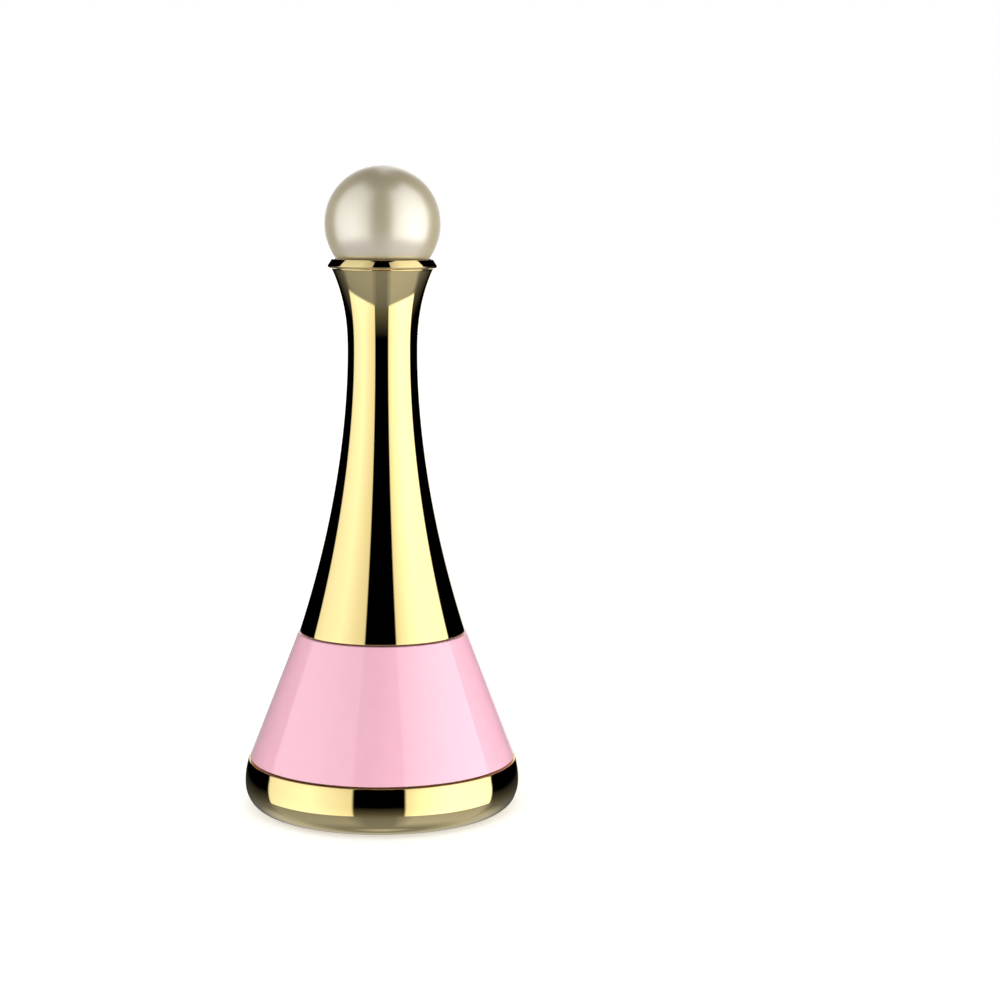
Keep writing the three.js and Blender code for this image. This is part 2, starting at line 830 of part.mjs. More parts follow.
// Tube in the waist that holds the switch, with a ledge for the tail contact
function switchCarrier() {
  const ledgeRadius = carrierBoreRadius - carrierLedgeWidth;
  return turned([
    [ledgeRadius, carrierFootZ],
    [carrierRadius, carrierFootZ],
    [carrierRadius, bushFootZ],
    [carrierBoreRadius, bushFootZ],
    [carrierBoreRadius, tailContactZ],
    [ledgeRadius, tailContactZ],
  ], insideSideCount);
}

function tailContact() {
  return moved(bar(switchRadius, tailContactThickness, insideSideCount), 0, 0,
    tailContactZ + tailContactThickness / 2);
}

function plungerFootZ() {
  return stemFootZ - plungerLength;
}

function switchBody() {
  const boreRadius = plungerRadius + slipGap;
  const boreZ = plungerFootZ() - buttonTravel - slipGap;
  return turned([
    [0, switchFootZ],
    [switchRadius, switchFootZ],
    [switchRadius, switchTopZ],
    [boreRadius, switchTopZ],
    [boreRadius, boreZ],
    [0, boreZ],
  ], insideSideCount);
}

function switchPlunger() {
  return moved(bar(plungerRadius, plungerLength, smallSideCount), 0, 0,
    plungerFootZ() + plungerLength / 2);
}

// Bush that guides the stem, with a pocket for the return spring
function guideBush() {
  const outside = levels(bushFootZ, bushTopZ, bushStepCount).map((z) => [handleBoreAt(z) - slipGap, z]);
  const pocketRadius = returnSpringRadius() + returnSpringWire / 2 + slipGap;
  const pocketZ = bushFootZ + bushFloorThickness;
  return turned([
    [stemRadius + slipGap, bushFootZ],
    ...outside,
    [pocketRadius, bushTopZ],
    [pocketRadius, pocketZ],
    [stemRadius + slipGap, pocketZ],
  ], insideSideCount);
}

function returnSpringRadius() {
  return stemRadius + 2 * slipGap + returnSpringWire / 2;
}

function returnSpring() {
  const radius = returnSpringRadius();
  return helicalSpring(bushFootZ + bushFloorThickness, stemHeadZ, radius, radius,
    returnSpringWire, returnSpringTurnCount);
}

function contactSpring() {
  return helicalSpring(cellTopZ, tailContactZ, contactSpringFootRadius, contactSpringTopRadius,
    contactSpringWire, contactSpringTurnCount);
}

// Groove of the clip lies just under the bush
function clipTopZ() {
  return bushFootZ - slipGap;
}

function buttonStem() {
  const grooveRadius = stemRadius - clipGrooveDepth;
  const grooveTopZ = clipTopZ() + clipGap;
  const grooveFootZ = clipTopZ() - clipThickness - clipGap;
  const tipZ = pearlFlatZ + stemSocketDepth;
  return turned([
    [0, stemFootZ],
    [stemRadius, stemFootZ],
    [stemRadius, grooveFootZ],
    [grooveRadius, grooveFootZ],
    [grooveRadius, grooveTopZ],
    [stemRadius, grooveTopZ],
    [stemRadius, stemHeadZ],
    [stemHeadRadius, stemHeadZ],
    [stemHeadRadius, pearlFlatZ],
    [stemRadius, pearlFlatZ],
    [stemRadius, tipZ],
    [0, tipZ],
  ], insideSideCount);
}

// Spring clip: a flat ring with a gap on one side
function stemClip() {
  const boreRadius = stemRadius - clipGrooveDepth + coaxialGap;
  const ring = new THREE.Shape();
  ring.absarc(0, 0, boreRadius + clipWidth, clipHalfOpening, 2 * Math.PI - clipHalfOpening, false);
  ring.absarc(0, 0, boreRadius, 2 * Math.PI - clipHalfOpening, clipHalfOpening, true);
  ring.closePath();
  return moved(plate(ring, clipThickness, wireSideCount), 0, 0, clipTopZ() - clipThickness);
}

// Bevelled collar on the handle's top, hollowed for the pearl at the end of its travel
function collar() {
  const pressedZ = pearlCentreZ - buttonTravel;
  const cup = levels(collarShelfZ, collarTopZ, cupStepCount).map((z) => [
    pearlRadiusAt(z, pressedZ) + pearlClearance, z,
  ]);
  const lipRadius = handleTopRadius + collarLipOverhang;
  const lipZ = THREE.MathUtils.lerp(handleTopZ, collarTopZ, collarLipHeightShare);
  const spigotFootRadius = handleBoreAt(bushTopZ) - slipGap;
  const spigotBoreRadius = spigotFootRadius - collarSpigotWall;
  return turned([
    ...cup,
    [collarTopRadius, collarTopZ],
    [lipRadius, lipZ],
    [lipRadius - collarLipBevel, handleTopZ + collarLipBevel],
    [lipRadius - collarUndersideInset, handleTopZ],
    [handleBoreAt(handleTopZ) - slipGap, handleTopZ],
    [spigotFootRadius, bushTopZ],
    [spigotBoreRadius, bushTopZ],
    [spigotBoreRadius, collarShelfZ],
  ], outsideSideCount);
}

// Pearl: a ball cut flat underneath, with a socket for the stem
function pearl() {
  const socketRadius = stemRadius + slipGap;
  const socketZ = pearlFlatZ + stemSocketDepth + slipGap;
  const flatAngle = Math.acos((pearlCentreZ - pearlFlatZ) / pearlRadius);
  const ball = [];
  for (let step = 0; step < pearlStepCount; step += 1) {
    const turn = THREE.MathUtils.lerp(flatAngle, Math.PI, step / pearlStepCount);
    ball.push([pearlRadius * Math.sin(turn), pearlCentreZ - pearlRadius * Math.cos(turn)]);
  }
  return turned([
    [0, socketZ],
    [socketRadius, socketZ],
    [socketRadius, pearlFlatZ],
    ...ball,
    [0, pearlCentreZ + pearlRadius],
  ], pearlSideCount);
}

function cell() {
  return turned([
    [0, cellFootZ],
    [cellRadius - cellEdgeBevel, cellFootZ],
    [cellRadius, cellFootZ + cellEdgeBevel],
    [cellRadius, cellTopZ - cellEdgeBevel],
    [cellRadius - cellEdgeBevel, cellTopZ],
    [0, cellTopZ],
  ], insideSideCount);
}

function cellNub() {
  return moved(bar(nubRadius, nubHeight, smallSideCount), 0, 0, cellContactTopZ + nubHeight / 2);
}

// Round contact under the cell, with a tab through the floor down to the board
function cellContact() {
  const face = moved(bar(cellContactRadius, cellContactThickness, smallSideCount), 0, 0,
    floorTopZ + cellContactThickness / 2);
  const tabHeight = cellContactTopZ - boardTopZ;
  const tab = moved(block(cellContactThickness, cellTabWidth, tabHeight),
    cellContactRadius * cellTabPlaceShare, 0, boardTopZ + tabHeight / 2);
  return carved(face, [tab], []);
}

// Motor pieces stand on z = 0 round their own axis
const motorFaceZ = motorLength + motorBossHeight;

function motorCase() {
  const boreRadius = shaftRadius + coaxialGap;
  return turned([
    [0, motorCapHeight],
    [motorRadius, motorCapHeight],
    [motorRadius, motorLength],
    [motorBossRadius, motorLength],
    [motorBossRadius, motorFaceZ],
    [boreRadius, motorFaceZ],
    [boreRadius, motorFaceZ - motorBoreDepth],
    [0, motorFaceZ - motorBoreDepth],
  ], insideSideCount);
}

function motorShaft() {
  const footZ = motorFaceZ - motorBoreDepth + coaxialGap;
  const topZ = motorFaceZ + shaftOut;
  return moved(bar(shaftRadius, topZ - footZ, smallSideCount), 0, 0, (footZ + topZ) / 2);
}

// Sector-shaped weight on a hub
function eccentricWeight() {
  const fromAngle = Math.PI / 2 - weightHalfAngle;
  const toAngle = Math.PI / 2 + weightHalfAngle;
  const shape = new THREE.Shape();
  shape.absarc(0, 0, weightRadius, fromAngle, toAngle, false);
  shape.absarc(0, 0, weightHubRadius, toAngle, fromAngle + 2 * Math.PI, false);
  shape.closePath();
  const bore = new THREE.Path();
  bore.absarc(0, 0, shaftRadius + weightBoreGap, 0, 2 * Math.PI);
  shape.holes.push(bore);
  return moved(plate(shape, weightHeight, wireSideCount), 0, 0, motorFaceZ + weightLift);
}

function motorSleeve() {
  return turned([
    [motorRadius + coaxialGap, 0],
    [motorSleeveRadius, 0],
    [motorSleeveRadius, motorSleeveHeight],
    [motorRadius + coaxialGap, motorSleeveHeight],
  ], insideSideCount);
}

// Short lead from the motor's cap down to the board, stepped a little outwards
function motorLead(side) {
  const drop = floorTopZ - boardTopZ;
  const topY = (side * motorLeadPitch) / 2;
  const footY = topY + side * motorLeadSplay;
  const path = new THREE.CubicBezierCurve3(
    new THREE.Vector3(0, topY, 0),
    new THREE.Vector3(0, topY, -drop / 2),
    new THREE.Vector3(0, footY, -drop / 2),
    new THREE.Vector3(0, footY, -drop),
  );
  return tidy(new THREE.ExtrudeGeometry(disc(motorLeadRadius), {
    steps: motorLeadStepCount,
    bevelEnabled: false,
    extrudePath: path,
    curveSegments: wireSideCount / 2,
  }));
}

const massager = new THREE.Group();

function addPiece(parent, name, geometry, material) {
  const mesh = new THREE.Mesh(geometry, material);
  mesh.name = name;
  parent.add(mesh);
  return mesh;
}

// Foot: plate, insulation, ring, screws
const foot = new THREE.Group();
massager.add(foot);
addPiece(foot, 'electrode_plate', electrodePlate(), satinGold);
addPiece(foot, 'insulating_ring', insulatingRing(), whitePlastic);
addPiece(foot, 'plate_seal', plateSeal(), rubber);
addPiece(foot, 'foot_ring', footRing(), mirrorGold);
screwPlaces().forEach((place, at) => {
  const screw = addPiece(foot, `foot_screw_${at + 1}`, footScrew(), steel);
  screw.position.set(place.x, place.y, 0);
});

// Board with its parts on the underside
const board = new THREE.Group();
board.position.z = boardZ;
massager.add(board);
addPiece(board, 'circuit_board', circuitBoard(), boardGreen);
const [chipX, chipY] = chipPlaceShares.map((share) => share * boardRadius);
const chip = addPiece(board, 'controller_chip', block(chipWidth, chipWidth, chipHeight), blackPlastic);
chip.position.set(chipX, chipY, -chipHeight / 2);
const [inductorX, inductorY] = inductorPlaceShares.map((share) => share * boardRadius);
const inductor = addPiece(board, 'boost_inductor', bar(inductorRadius, inductorHeight, insideSideCount),
  ferrite);
inductor.position.set(inductorX, inductorY, -inductorHeight / 2);
capacitorPlaceShares.forEach(([xShare, yShare], at) => {
  const body = block(capacitorLength, capacitorWidth, capacitorHeight);
  const capacitor = addPiece(board, `capacitor_${at + 1}`, body, ceramicTan);
  capacitor.position.set(xShare * boardRadius, yShare * boardRadius, -capacitorHeight / 2);
});
addPiece(massager, 'contact_pin', contactPin(), brass);

// Frame with the cell, the band over it and what the handle turns down on
addPiece(massager, 'inner_frame', innerFrame(), ivoryPlastic);
addPiece(massager, 'cell_contact', cellContact(), nickel);
addPiece(massager, 'battery_nub', cellNub(), nickel);
addPiece(massager, 'battery_cell', cell(), cellLabel);
addPiece(massager, 'pink_band', band(), pinkGloss);
addPiece(massager, 'neck_seal', neckSeal(), rubber);
addPiece(massager, 'contact_ring', contactRing(), brass);
const ringLead = addPiece(massager, 'contact_ring_lead', contactRingLead(), blackWire);
ringLead.position.copy(polar(leadCircleRadius, leadAngle, (boardTopZ + shoulderTopZ) / 2));

// Motor on the frame's floor
const motor = new THREE.Group();
motor.position.set(motorCircleRadius, 0, floorTopZ);
massager.add(motor);
addPiece(motor, 'motor_case', motorCase(), steel);
const motorCap = addPiece(motor, 'motor_end_cap', bar(motorRadius, motorCapHeight, insideSideCount),
  blackPlastic);
motorCap.position.z = motorCapHeight / 2;
addPiece(motor, 'motor_shaft', motorShaft(), steel);
addPiece(motor, 'eccentric_weight', eccentricWeight(), steel);
addPiece(motor, 'motor_sleeve', motorSleeve(), rubber);
addPiece(motor, 'motor_lead_red', motorLead(1), redWire);
addPiece(motor, 'motor_lead_black', motorLead(-1), blackWire);

// Handle, which screws off for a new cell
const handle = new THREE.Group();
massager.add(handle);
addPiece(handle, 'handle_shell', handleShell(), mirrorGold);
addPiece(handle, 'thread_sleeve', threadSleeve(), brass);
addPiece(handle, 'contact_spring', contactSpring(), steel);
addPiece(handle, 'tail_contact', tailContact(), brass);
addPiece(handle, 'switch_carrier', switchCarrier(), blackPlastic);
addPiece(handle, 'switch_body', switchBody(), blackPlastic);
addPiece(handle, 'switch_plunger', switchPlunger(), ivoryPlastic);
addPiece(handle, 'guide_bush', guideBush(), ivoryPlastic);
addPiece(handle, 'collar_ring', collar(), mirrorGold);

// Push button
const button = new THREE.Group();
handle.add(button);
addPiece(button, 'button_stem', buttonStem(), steel);
addPiece(button, 'stem_clip', stemClip(), steel);
addPiece(button, 'return_spring', returnSpring(), steel);
addPiece(button, 'pearl_bead', pearl(), pearlWhite);

export default massager;
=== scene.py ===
from functools import partialmethod
from math import acos, cos, pi, radians, sin, sqrt, tan, tau

import bmesh
import bpy
from mathutils import Matrix, Vector


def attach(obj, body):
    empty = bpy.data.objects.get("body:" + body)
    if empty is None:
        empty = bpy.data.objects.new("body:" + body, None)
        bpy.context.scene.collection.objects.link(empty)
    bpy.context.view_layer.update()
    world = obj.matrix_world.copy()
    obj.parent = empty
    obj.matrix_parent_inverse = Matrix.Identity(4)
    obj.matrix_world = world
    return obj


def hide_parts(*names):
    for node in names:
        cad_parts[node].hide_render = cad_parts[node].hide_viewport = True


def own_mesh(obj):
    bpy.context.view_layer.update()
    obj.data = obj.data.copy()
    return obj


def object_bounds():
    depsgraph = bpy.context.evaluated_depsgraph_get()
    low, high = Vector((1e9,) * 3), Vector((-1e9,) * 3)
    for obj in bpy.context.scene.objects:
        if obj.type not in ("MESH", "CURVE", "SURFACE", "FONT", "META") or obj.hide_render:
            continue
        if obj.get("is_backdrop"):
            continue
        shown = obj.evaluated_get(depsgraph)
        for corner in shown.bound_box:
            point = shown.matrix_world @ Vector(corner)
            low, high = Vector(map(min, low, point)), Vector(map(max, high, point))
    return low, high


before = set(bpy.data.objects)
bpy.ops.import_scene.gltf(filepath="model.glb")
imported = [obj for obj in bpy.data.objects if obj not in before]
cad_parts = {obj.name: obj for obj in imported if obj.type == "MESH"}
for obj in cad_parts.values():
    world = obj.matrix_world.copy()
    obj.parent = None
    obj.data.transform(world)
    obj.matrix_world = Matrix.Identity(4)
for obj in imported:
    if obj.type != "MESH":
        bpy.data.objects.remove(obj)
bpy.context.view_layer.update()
scene = bpy.context.scene
MM = 0.001  # sizes below are written in millimetres


# Camera
# Stands in front of the massager at the height of its pearl and looks slightly down, with the
# object left of the middle, as in the photograph.
CAMERA_DISTANCE = 343.86
CAMERA_HEIGHT = 93.25
CAMERA_YAW = radians(2.961)
CAMERA_PITCH = radians(7.654)
CAMERA_ROLL = radians(0.395)


def heading(round_angle, tilt):
    """A turn round the upright axis, after a tilt up from looking straight down."""
    return Matrix.Rotation(round_angle, 4, "Z") @ Matrix.Rotation(tilt, 4, "X")


camera = bpy.data.objects.new("camera", bpy.data.cameras.new("camera"))
scene.collection.objects.link(camera)
camera.matrix_world = (
    Matrix.Translation((0, -CAMERA_DISTANCE * MM, CAMERA_HEIGHT * MM))
    @ heading(-CAMERA_YAW, pi / 2 - CAMERA_PITCH) @ Matrix.Rotation(CAMERA_ROLL, 4, "Z"))
camera.data.sensor_width = 36
camera.data.lens = 82.44
camera.data.clip_start = 0.01
camera.data.clip_end = 20
scene.camera = camera
scene.view_settings.view_transform = "Standard"


# Studio ground and walls
# A white void. The floor is white paper that keeps the object's soft shadow and throws no light
# on it. The world is white to the eye, to gloss and to glass, and lights the object plainly.
WORLD_LIGHT = 0.70
FLOOR_REACH = 4.0
PAPER_WHITE = 0.8
GLOW = (0.1, 0.9, 0.44, 0.66)  # from near to far in metres, and the brightness there
SQUARE = ((-1, -1), (1, -1), (1, 1), (-1, 1))


class Flow:
    """What comes out of a node. A sum written with it becomes Math nodes."""

    def __init__(self, tree, socket):
        self.tree = tree
        self.socket = socket

    def to(self, socket):
        self.tree.links.new(self.socket, socket)

    def calc(self, operation, other=0.0):
        return flow(self.tree, "ShaderNodeMath", {0: self, 1: other}, operation=operation)

    def __rsub__(self, other):
        return self * -1.0 + other

    __add__ = partialmethod(calc, "ADD")
    __sub__ = partialmethod(calc, "SUBTRACT")
    __mul__ = partialmethod(calc, "MULTIPLY")
    __truediv__ = partialmethod(calc, "DIVIDE")
    __pow__ = partialmethod(calc, "POWER")
    at_least = partialmethod(calc, "MAXIMUM")
    at_most = partialmethod(calc, "MINIMUM")


def place(tree, kind, inputs=None, **choices):
    """Adds a node, makes its choices and feeds its sockets with values or with flows."""
    made = tree.nodes.new(kind)
    for choice, value in choices.items():
        setattr(made, choice, value)
    for socket, value in (inputs or {}).items():
        if isinstance(value, Flow):
            value.to(made.inputs[socket])
        else:
            made.inputs[socket].default_value = value
    return made


def flow(tree, kind, inputs=None, output=0, **choices):
    """What comes out of a new node."""
    return Flow(tree, place(tree, kind, inputs, **choices).outputs[output])


def run(factor, low, high, first=0.0, last=1.0):
    """Runs from first to last while a factor runs from low to high."""
    return flow(factor.tree, "ShaderNodeMapRange", {
        "Value": factor, "From Min": low, "From Max": high, "To Min": first, "To Max": last,
    })


def seen_directly(tree):
    """1 for the eye, for gloss and for glass, and 0 for rays that only carry light."""
    path = place(tree, "ShaderNodeLightPath").outputs
    eye, gloss, glass = (
        Flow(tree, path[ray]) for ray in ("Is Camera Ray", "Is Glossy Ray", "Is Transmission Ray"))
    return eye.at_least(gloss.at_least(glass))


def solid(name, bm=None):
    """An object with the mesh that was built, or with an empty one that is filled later."""
    mesh = bpy.data.meshes.new(name)
    if bm is not None:
        bm.to_mesh(mesh)
        bm.free()
    obj = bpy.data.objects.new(name, mesh)
    scene.collection.objects.link(obj)
    return obj


def bare_material(name):
    """A material with an empty tree."""
    material = bpy.data.materials.new(name)
    material.use_nodes = True
    material.node_tree.nodes.clear()
    return material, material.node_tree


world = bpy.data.worlds.new("white_void")
scene.world = world
world.use_nodes = True
sky = world.node_tree.nodes["Background"].inputs
sky["Color"].default_value = (1, 1, 1, 1)
strength = seen_directly(world.node_tree) * (1 - WORLD_LIGHT) + WORLD_LIGHT
strength.to(sky["Strength"])

floor = solid("floor")
corners = [(x * FLOOR_REACH, y * FLOOR_REACH, 0) for x, y in SQUARE]
floor.data.from_pydata(corners, [], [(0, 1, 2, 3)])
paper, tree = bare_material("white_paper")
ground = flow(tree, "ShaderNodeTexCoord", output="Object")
from_object = flow(tree, "ShaderNodeVectorMath", {0: ground}, "Value", operation="LENGTH")
glow_level = seen_directly(tree) * run(from_object, *GLOW)
glow = flow(tree, "ShaderNodeEmission", {"Strength": glow_level})
matt = flow(tree, "ShaderNodeBsdfDiffuse", {"Color": [PAPER_WHITE] * 3 + [1]})
upper = flow(tree, "ShaderNodeAddShader", {0: matt, 1: glow})
under = flow(tree, "ShaderNodeBsdfTransparent")
back = flow(tree, "ShaderNodeNewGeometry", output="Backfacing")
either = flow(tree, "ShaderNodeMixShader", {0: back, 1: upper, 2: under})
place(tree, "ShaderNodeOutputMaterial", {"Surface": either})
floor.data.materials.append(paper)
floor.visible_diffuse = False
floor.visible_glossy = False
floor.visible_shadow = False
floor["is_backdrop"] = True


# Reflection tent
# Mirror gold shows the studio, so the studio is a round tent that only gloss sees: a black flag
# in front, a tall soft box on each side, black flags behind with a gap, and grey ground below.
TENT_RADIUS = 1.4
TENT_CENTRE = 0.05
TENT_SCALE = 4.0  # a ramp holds no more than 1, so brightness is stored as a share of this
LEFT_WALL = (
    # degrees round from the front, brightness
    (20.4, 0.0), (22.4, 0.95), (40, 1.10), (60, 1.32), (85, 1.18), (103.5, 1.0), (105.5, 0.0),
    (163, 0.0), (165, 1.0),
)
RIGHT_WALL = (
    (20.4, 0.0), (22.4, 1.05), (32, 1.30), (62, 1.70), (76, 1.65), (103.5, 1.50), (105.5, 0.0),
    (163, 0.0), (165, 1.0),
)
BOX_FADE = ((5, 1.0), (30, 0.85), (50, 0.66), (67, 0.52))
GROUND = (
    # degrees above the horizon, brightness
    (-90, 0.60), (-83, 0.45), (-76, 0.24), (-45, 0.217), (-33, 0.19), (-26, 0.15), (-22, 0.115),
    (-18, 0.078), (-14, 0.045), (-8, 0.0),
)
SIDE_GROUND = ((-72, 0.0), (-52, 1.0), (-26, 1.0), (-20, 0.0))
REAR_GROUND = ((-75, 0.0), (-55, 0.3), (-42, 0.3), (-30, 0.0))
LEFT_SIDE_SHARE = ((14, 0.0), (30, 0.15), (100, 0.15), (112, 0.0))
RIGHT_SIDE_SHARE = ((14, 0.0), (30, 0.27), (100, 0.27), (112, 0.0))
REAR_SHARE = ((95, 0.0), (120, 1.0))
REAR_DROP = 3.0
BOX_FOOT = -26.8  # the soft boxes' lower edge, which curves up from its middle
BOX_FOOT_MIDDLE = 45
BOX_FOOT_LIFT = 0.00115
BOX_FOOT_MOST = 5.0
BOX_TOP = 67
BOX_FEATHER = 1.6
FLAG_SPREAD = 7.5  # how much wider, in degrees, the front flag is at its top
FLAG_TOP = 64.0
FLAG_POWER = 1.6
FLAG_END = 105.0
END_SPREAD = 8.5  # and the same for the boxes' far ends
END_SHARE = ((60, 0.0), (104, 1.0))
END_RISE = ((0, 0.0), (37, 1.0))
WARM_END = 22.0
WHITE_FROM = 52.0
WHITE = (1.0, 1.0, 1.0)
WARM_WHITE = (1.0, 0.965, 0.86)
COOL_GREY = (0.98, 1.0, 1.16)


def ramp(factor, stops, low=0.0):
    """A brightness that follows an angle over half a turn, in pairs of angle and brightness."""
    ramped = place(factor.tree, "ShaderNodeValToRGB", {0: run(factor, low, low + 180)})
    elements = ramped.color_ramp.elements
    while len(elements) < len(stops):
        elements.new(1.0)
    for element, (at, value) in zip(elements, stops):
        element.position = (at - low) / 180
        element.color = [value / TENT_SCALE] * 3 + [1]
    return Flow(factor.tree, ramped.outputs[0]) * TENT_SCALE


def upright_ramp(stops):
    """A brightness that follows the elevation."""
    return ramp(elevation, stops, low=-90.0)


def by_side(factor, left, right):
    """One ramp round the left side and another round the right."""
    return ramp(factor, right) * on_right + ramp(factor, left) * (1.0 - on_right)


def parted(vector):
    """The three numbers of a vector."""
    axes = place(vector.tree, "ShaderNodeSeparateXYZ", {0: vector}).outputs
    return [Flow(vector.tree, axis) for axis in axes]


def mixed(factor, first, second):
    """A colour that runs from one to another."""
    ends = [end if isinstance(end, Flow) else (*end, 1) for end in (first, second)]
    return flow(
        factor.tree, "ShaderNodeMix", {0: factor, 6: ends[0], 7: ends[1]}, 2, data_type="RGBA")


bm = bmesh.new()
bmesh.ops.create_uvsphere(bm, u_segments=96, v_segments=48, radius=TENT_RADIUS)
bmesh.ops.reverse_faces(bm, faces=bm.faces)
tent = solid("reflection_tent", bm)
tent.location.z = TENT_CENTRE
tent.rotation_euler.z = -CAMERA_YAW
cloth, tree = bare_material("tent_cloth")
spot = flow(tree, "ShaderNodeTexCoord", output="Object")
x, y, z = parted(flow(tree, "ShaderNodeVectorMath", {0: spot}, operation="NORMALIZE"))
azimuth = x.calc("ARCTAN2", y * -1.0).calc("DEGREES")
round_it = azimuth.calc("ABSOLUTE")
on_right = azimuth.calc("GREATER_THAN", 0.0)
elevation = z.calc("ARCSINE").calc("DEGREES")

spread = (elevation.at_least(0.0) / FLAG_TOP) ** FLAG_POWER * FLAG_SPREAD
leant = round_it - spread * (1.0 - round_it / FLAG_END).at_least(0.0)
leant = leant - ramp(round_it, END_SHARE) * upright_ramp(END_RISE) * END_SPREAD
foot_lift = ((round_it - BOX_FOOT_MIDDLE) ** 2.0 * BOX_FOOT_LIFT).at_most(BOX_FOOT_MOST)
inside_box = (elevation - (foot_lift + BOX_FOOT)).at_most(BOX_TOP - elevation)
within = (inside_box / BOX_FEATHER).at_least(0.0).at_most(1.0)
walls = by_side(leant, LEFT_WALL, RIGHT_WALL) * upright_ramp(BOX_FADE) * within

side_share = by_side(round_it, LEFT_SIDE_SHARE, RIGHT_SIDE_SHARE)
rear = ramp(round_it, REAR_SHARE)
below = side_share * upright_ramp(SIDE_GROUND) * (1.0 - within) + rear * upright_ramp(REAR_GROUND)
ground = ramp(elevation + rear * REAR_DROP, GROUND, low=-90.0) + below
warm = mixed(run(round_it, WARM_END, WHITE_FROM), WARM_WHITE, WHITE)
glow = flow(tree, "ShaderNodeEmission", {
    "Color": mixed(within, COOL_GREY, warm), "Strength": walls + ground,
})
place(tree, "ShaderNodeOutputMaterial", {"Surface": glow})
tent.data.materials.append(cloth)
tent.visible_camera = False
tent.visible_diffuse = False
tent.visible_shadow = False
tent.visible_transmission = False
tent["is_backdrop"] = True


# Lamps
# Six soft lamps round the object give the matt surfaces their plain light, with a low one in front
# for what a white table sends up. Gloss doesn't see them: it has the tent's soft boxes.
LAMPS = (
    # degrees round, degrees up, distance, width, watts
    ("left_lamp", -62, -22, 0.9, 0.5, 1.2),
    ("right_lamp", 75, -12, 0.9, 0.5, 4.5),
    ("left_rear_lamp", -125, 8, 0.9, 0.5, 2.8),
    ("right_rear_lamp", 125, 8, 0.9, 0.5, 1.8),
    ("low_lamp", 0, -40, 0.9, 0.6, 1.8),
    ("top_lamp", 0, 70, 0.8, 0.6, 1.0),
)

for name, round_angle, up_angle, distance, width, watts in LAMPS:
    lamp = bpy.data.objects.new(name, bpy.data.lights.new(name, "AREA"))
    lamp.data.shape = "DISK"
    lamp.data.size = width
    lamp.data.energy = watts
    lamp.visible_glossy = False
    lamp.matrix_world = (
        Matrix.Translation((0, 0, TENT_CENTRE))
        @ heading(radians(round_angle), radians(90 - up_angle))
        @ Matrix.Translation((0, 0, distance)))
    scene.collection.objects.link(lamp)


# Contact plate
# A pressed disc that touches the skin, plated satin gold, with six C-shaped ridges, six small
# domes and a shallow one in the middle. A stud behind it leads to the board.
PLATE_RADIUS = 14.0
PLATE_FACE = 0.5
PLATE_BACK = 1.5
STUD_RADIUS = 1.5
STUD_TOP = 4.6
PATTERN = {
    "Petals": 6,
    "Petal Circle": 0.66 * PLATE_RADIUS * MM,
    "Petal Radius": 3.15 * MM,
    "Petal Sweep": radians(200),
    "Ridge Width": 1.5 * MM,
    "Ridge Height": 0.45 * MM,
    "Dot Circle": 0.456 * PLATE_RADIUS * MM,
    "Dot Radius": 1.42 * MM,
    "Dot Height": 0.42 * MM,
    "Middle Radius": 2.75 * MM,
    "Middle Height": 0.3 * MM,
    "Face Height": PLATE_FACE * MM,
}
RIDGE_END = 0.06  # the share of a ridge's length in which its end tapers
RIDGE_CROWN = (2.4, 0.3)  # how steep the top is, and how deep the foot is sunk in the plate
DOME_CROWN = (1.8, 0.4)
SEAM = 1e-7
CREASE = radians(40)
SHADING_BREAK = radians(32)
CORNER_SHARE = 0.45
FINISH = "_finish"  # the CAD's own materials have the bare names of the slots


def stairs(*turns):
    """An outline through radius, height, radius, height and so on, one changing at a time."""
    pairs = enumerate(zip(turns, turns[1:]))
    return [pair[::-1] if number % 2 else pair for number, pair in pairs]


def softened(outline, radius, steps=4, sharpest=25):
    """An outline with its corners rounded, where they turn by more than the sharpest angle."""
    rounded = []
    last = len(outline) - 1
    on_axis = outline[0][0] == 0 and outline[last][0] == 0
    for at, here in enumerate(outline):
        if on_axis and at in (0, last):
            rounded.append(here)
            continue
        here = Vector(here)
        before = Vector(outline[at - 1]) - here
        after = Vector(outline[(at + 1) % len(outline)]) - here
        turned_by = pi - before.angle(after)
        if turned_by < radians(sharpest):
            rounded.append(tuple(here))
            continue
        shorter = min(before.length, after.length)
        reach = min(radius * tan(turned_by / 2), CORNER_SHARE * shorter)
        start = here + before.normalized() * reach
        end = here + after.normalized() * reach
        for step in range(steps + 1):
            t = step / steps
            rounded.append(tuple(start * (1 - t) ** 2 + here * 2 * t * (1 - t) + end * t ** 2))
    return rounded


def turned(name, outline, sides=160, at=(0, 0)):
    """A solid turned round an upright axis, from an outline of radii and heights."""
    bm = bmesh.new()
    rings = []
    for radius, height in outline:
        angles = [tau * step / sides for step in range(sides if radius > 0 else 1)]
        rings.append([bm.verts.new((
            (at[0] + radius * cos(angle)) * MM, (at[1] + radius * sin(angle)) * MM,
            height * MM,
        )) for angle in angles])
    if outline[0][0] > 0:
        rings.append(rings[0])
    for lower, upper in zip(rings, rings[1:]):
        for step in range(sides):
            corners = [
                lower[step % len(lower)], lower[(step + 1) % len(lower)],
                upper[(step + 1) % len(upper)], upper[step % len(upper)],
            ]
            corners = list(dict.fromkeys(corners))
            if len(corners) > 2:
                bm.faces.new(corners)
    bmesh.ops.recalc_face_normals(bm, faces=bm.faces)
    return solid(name, bm)


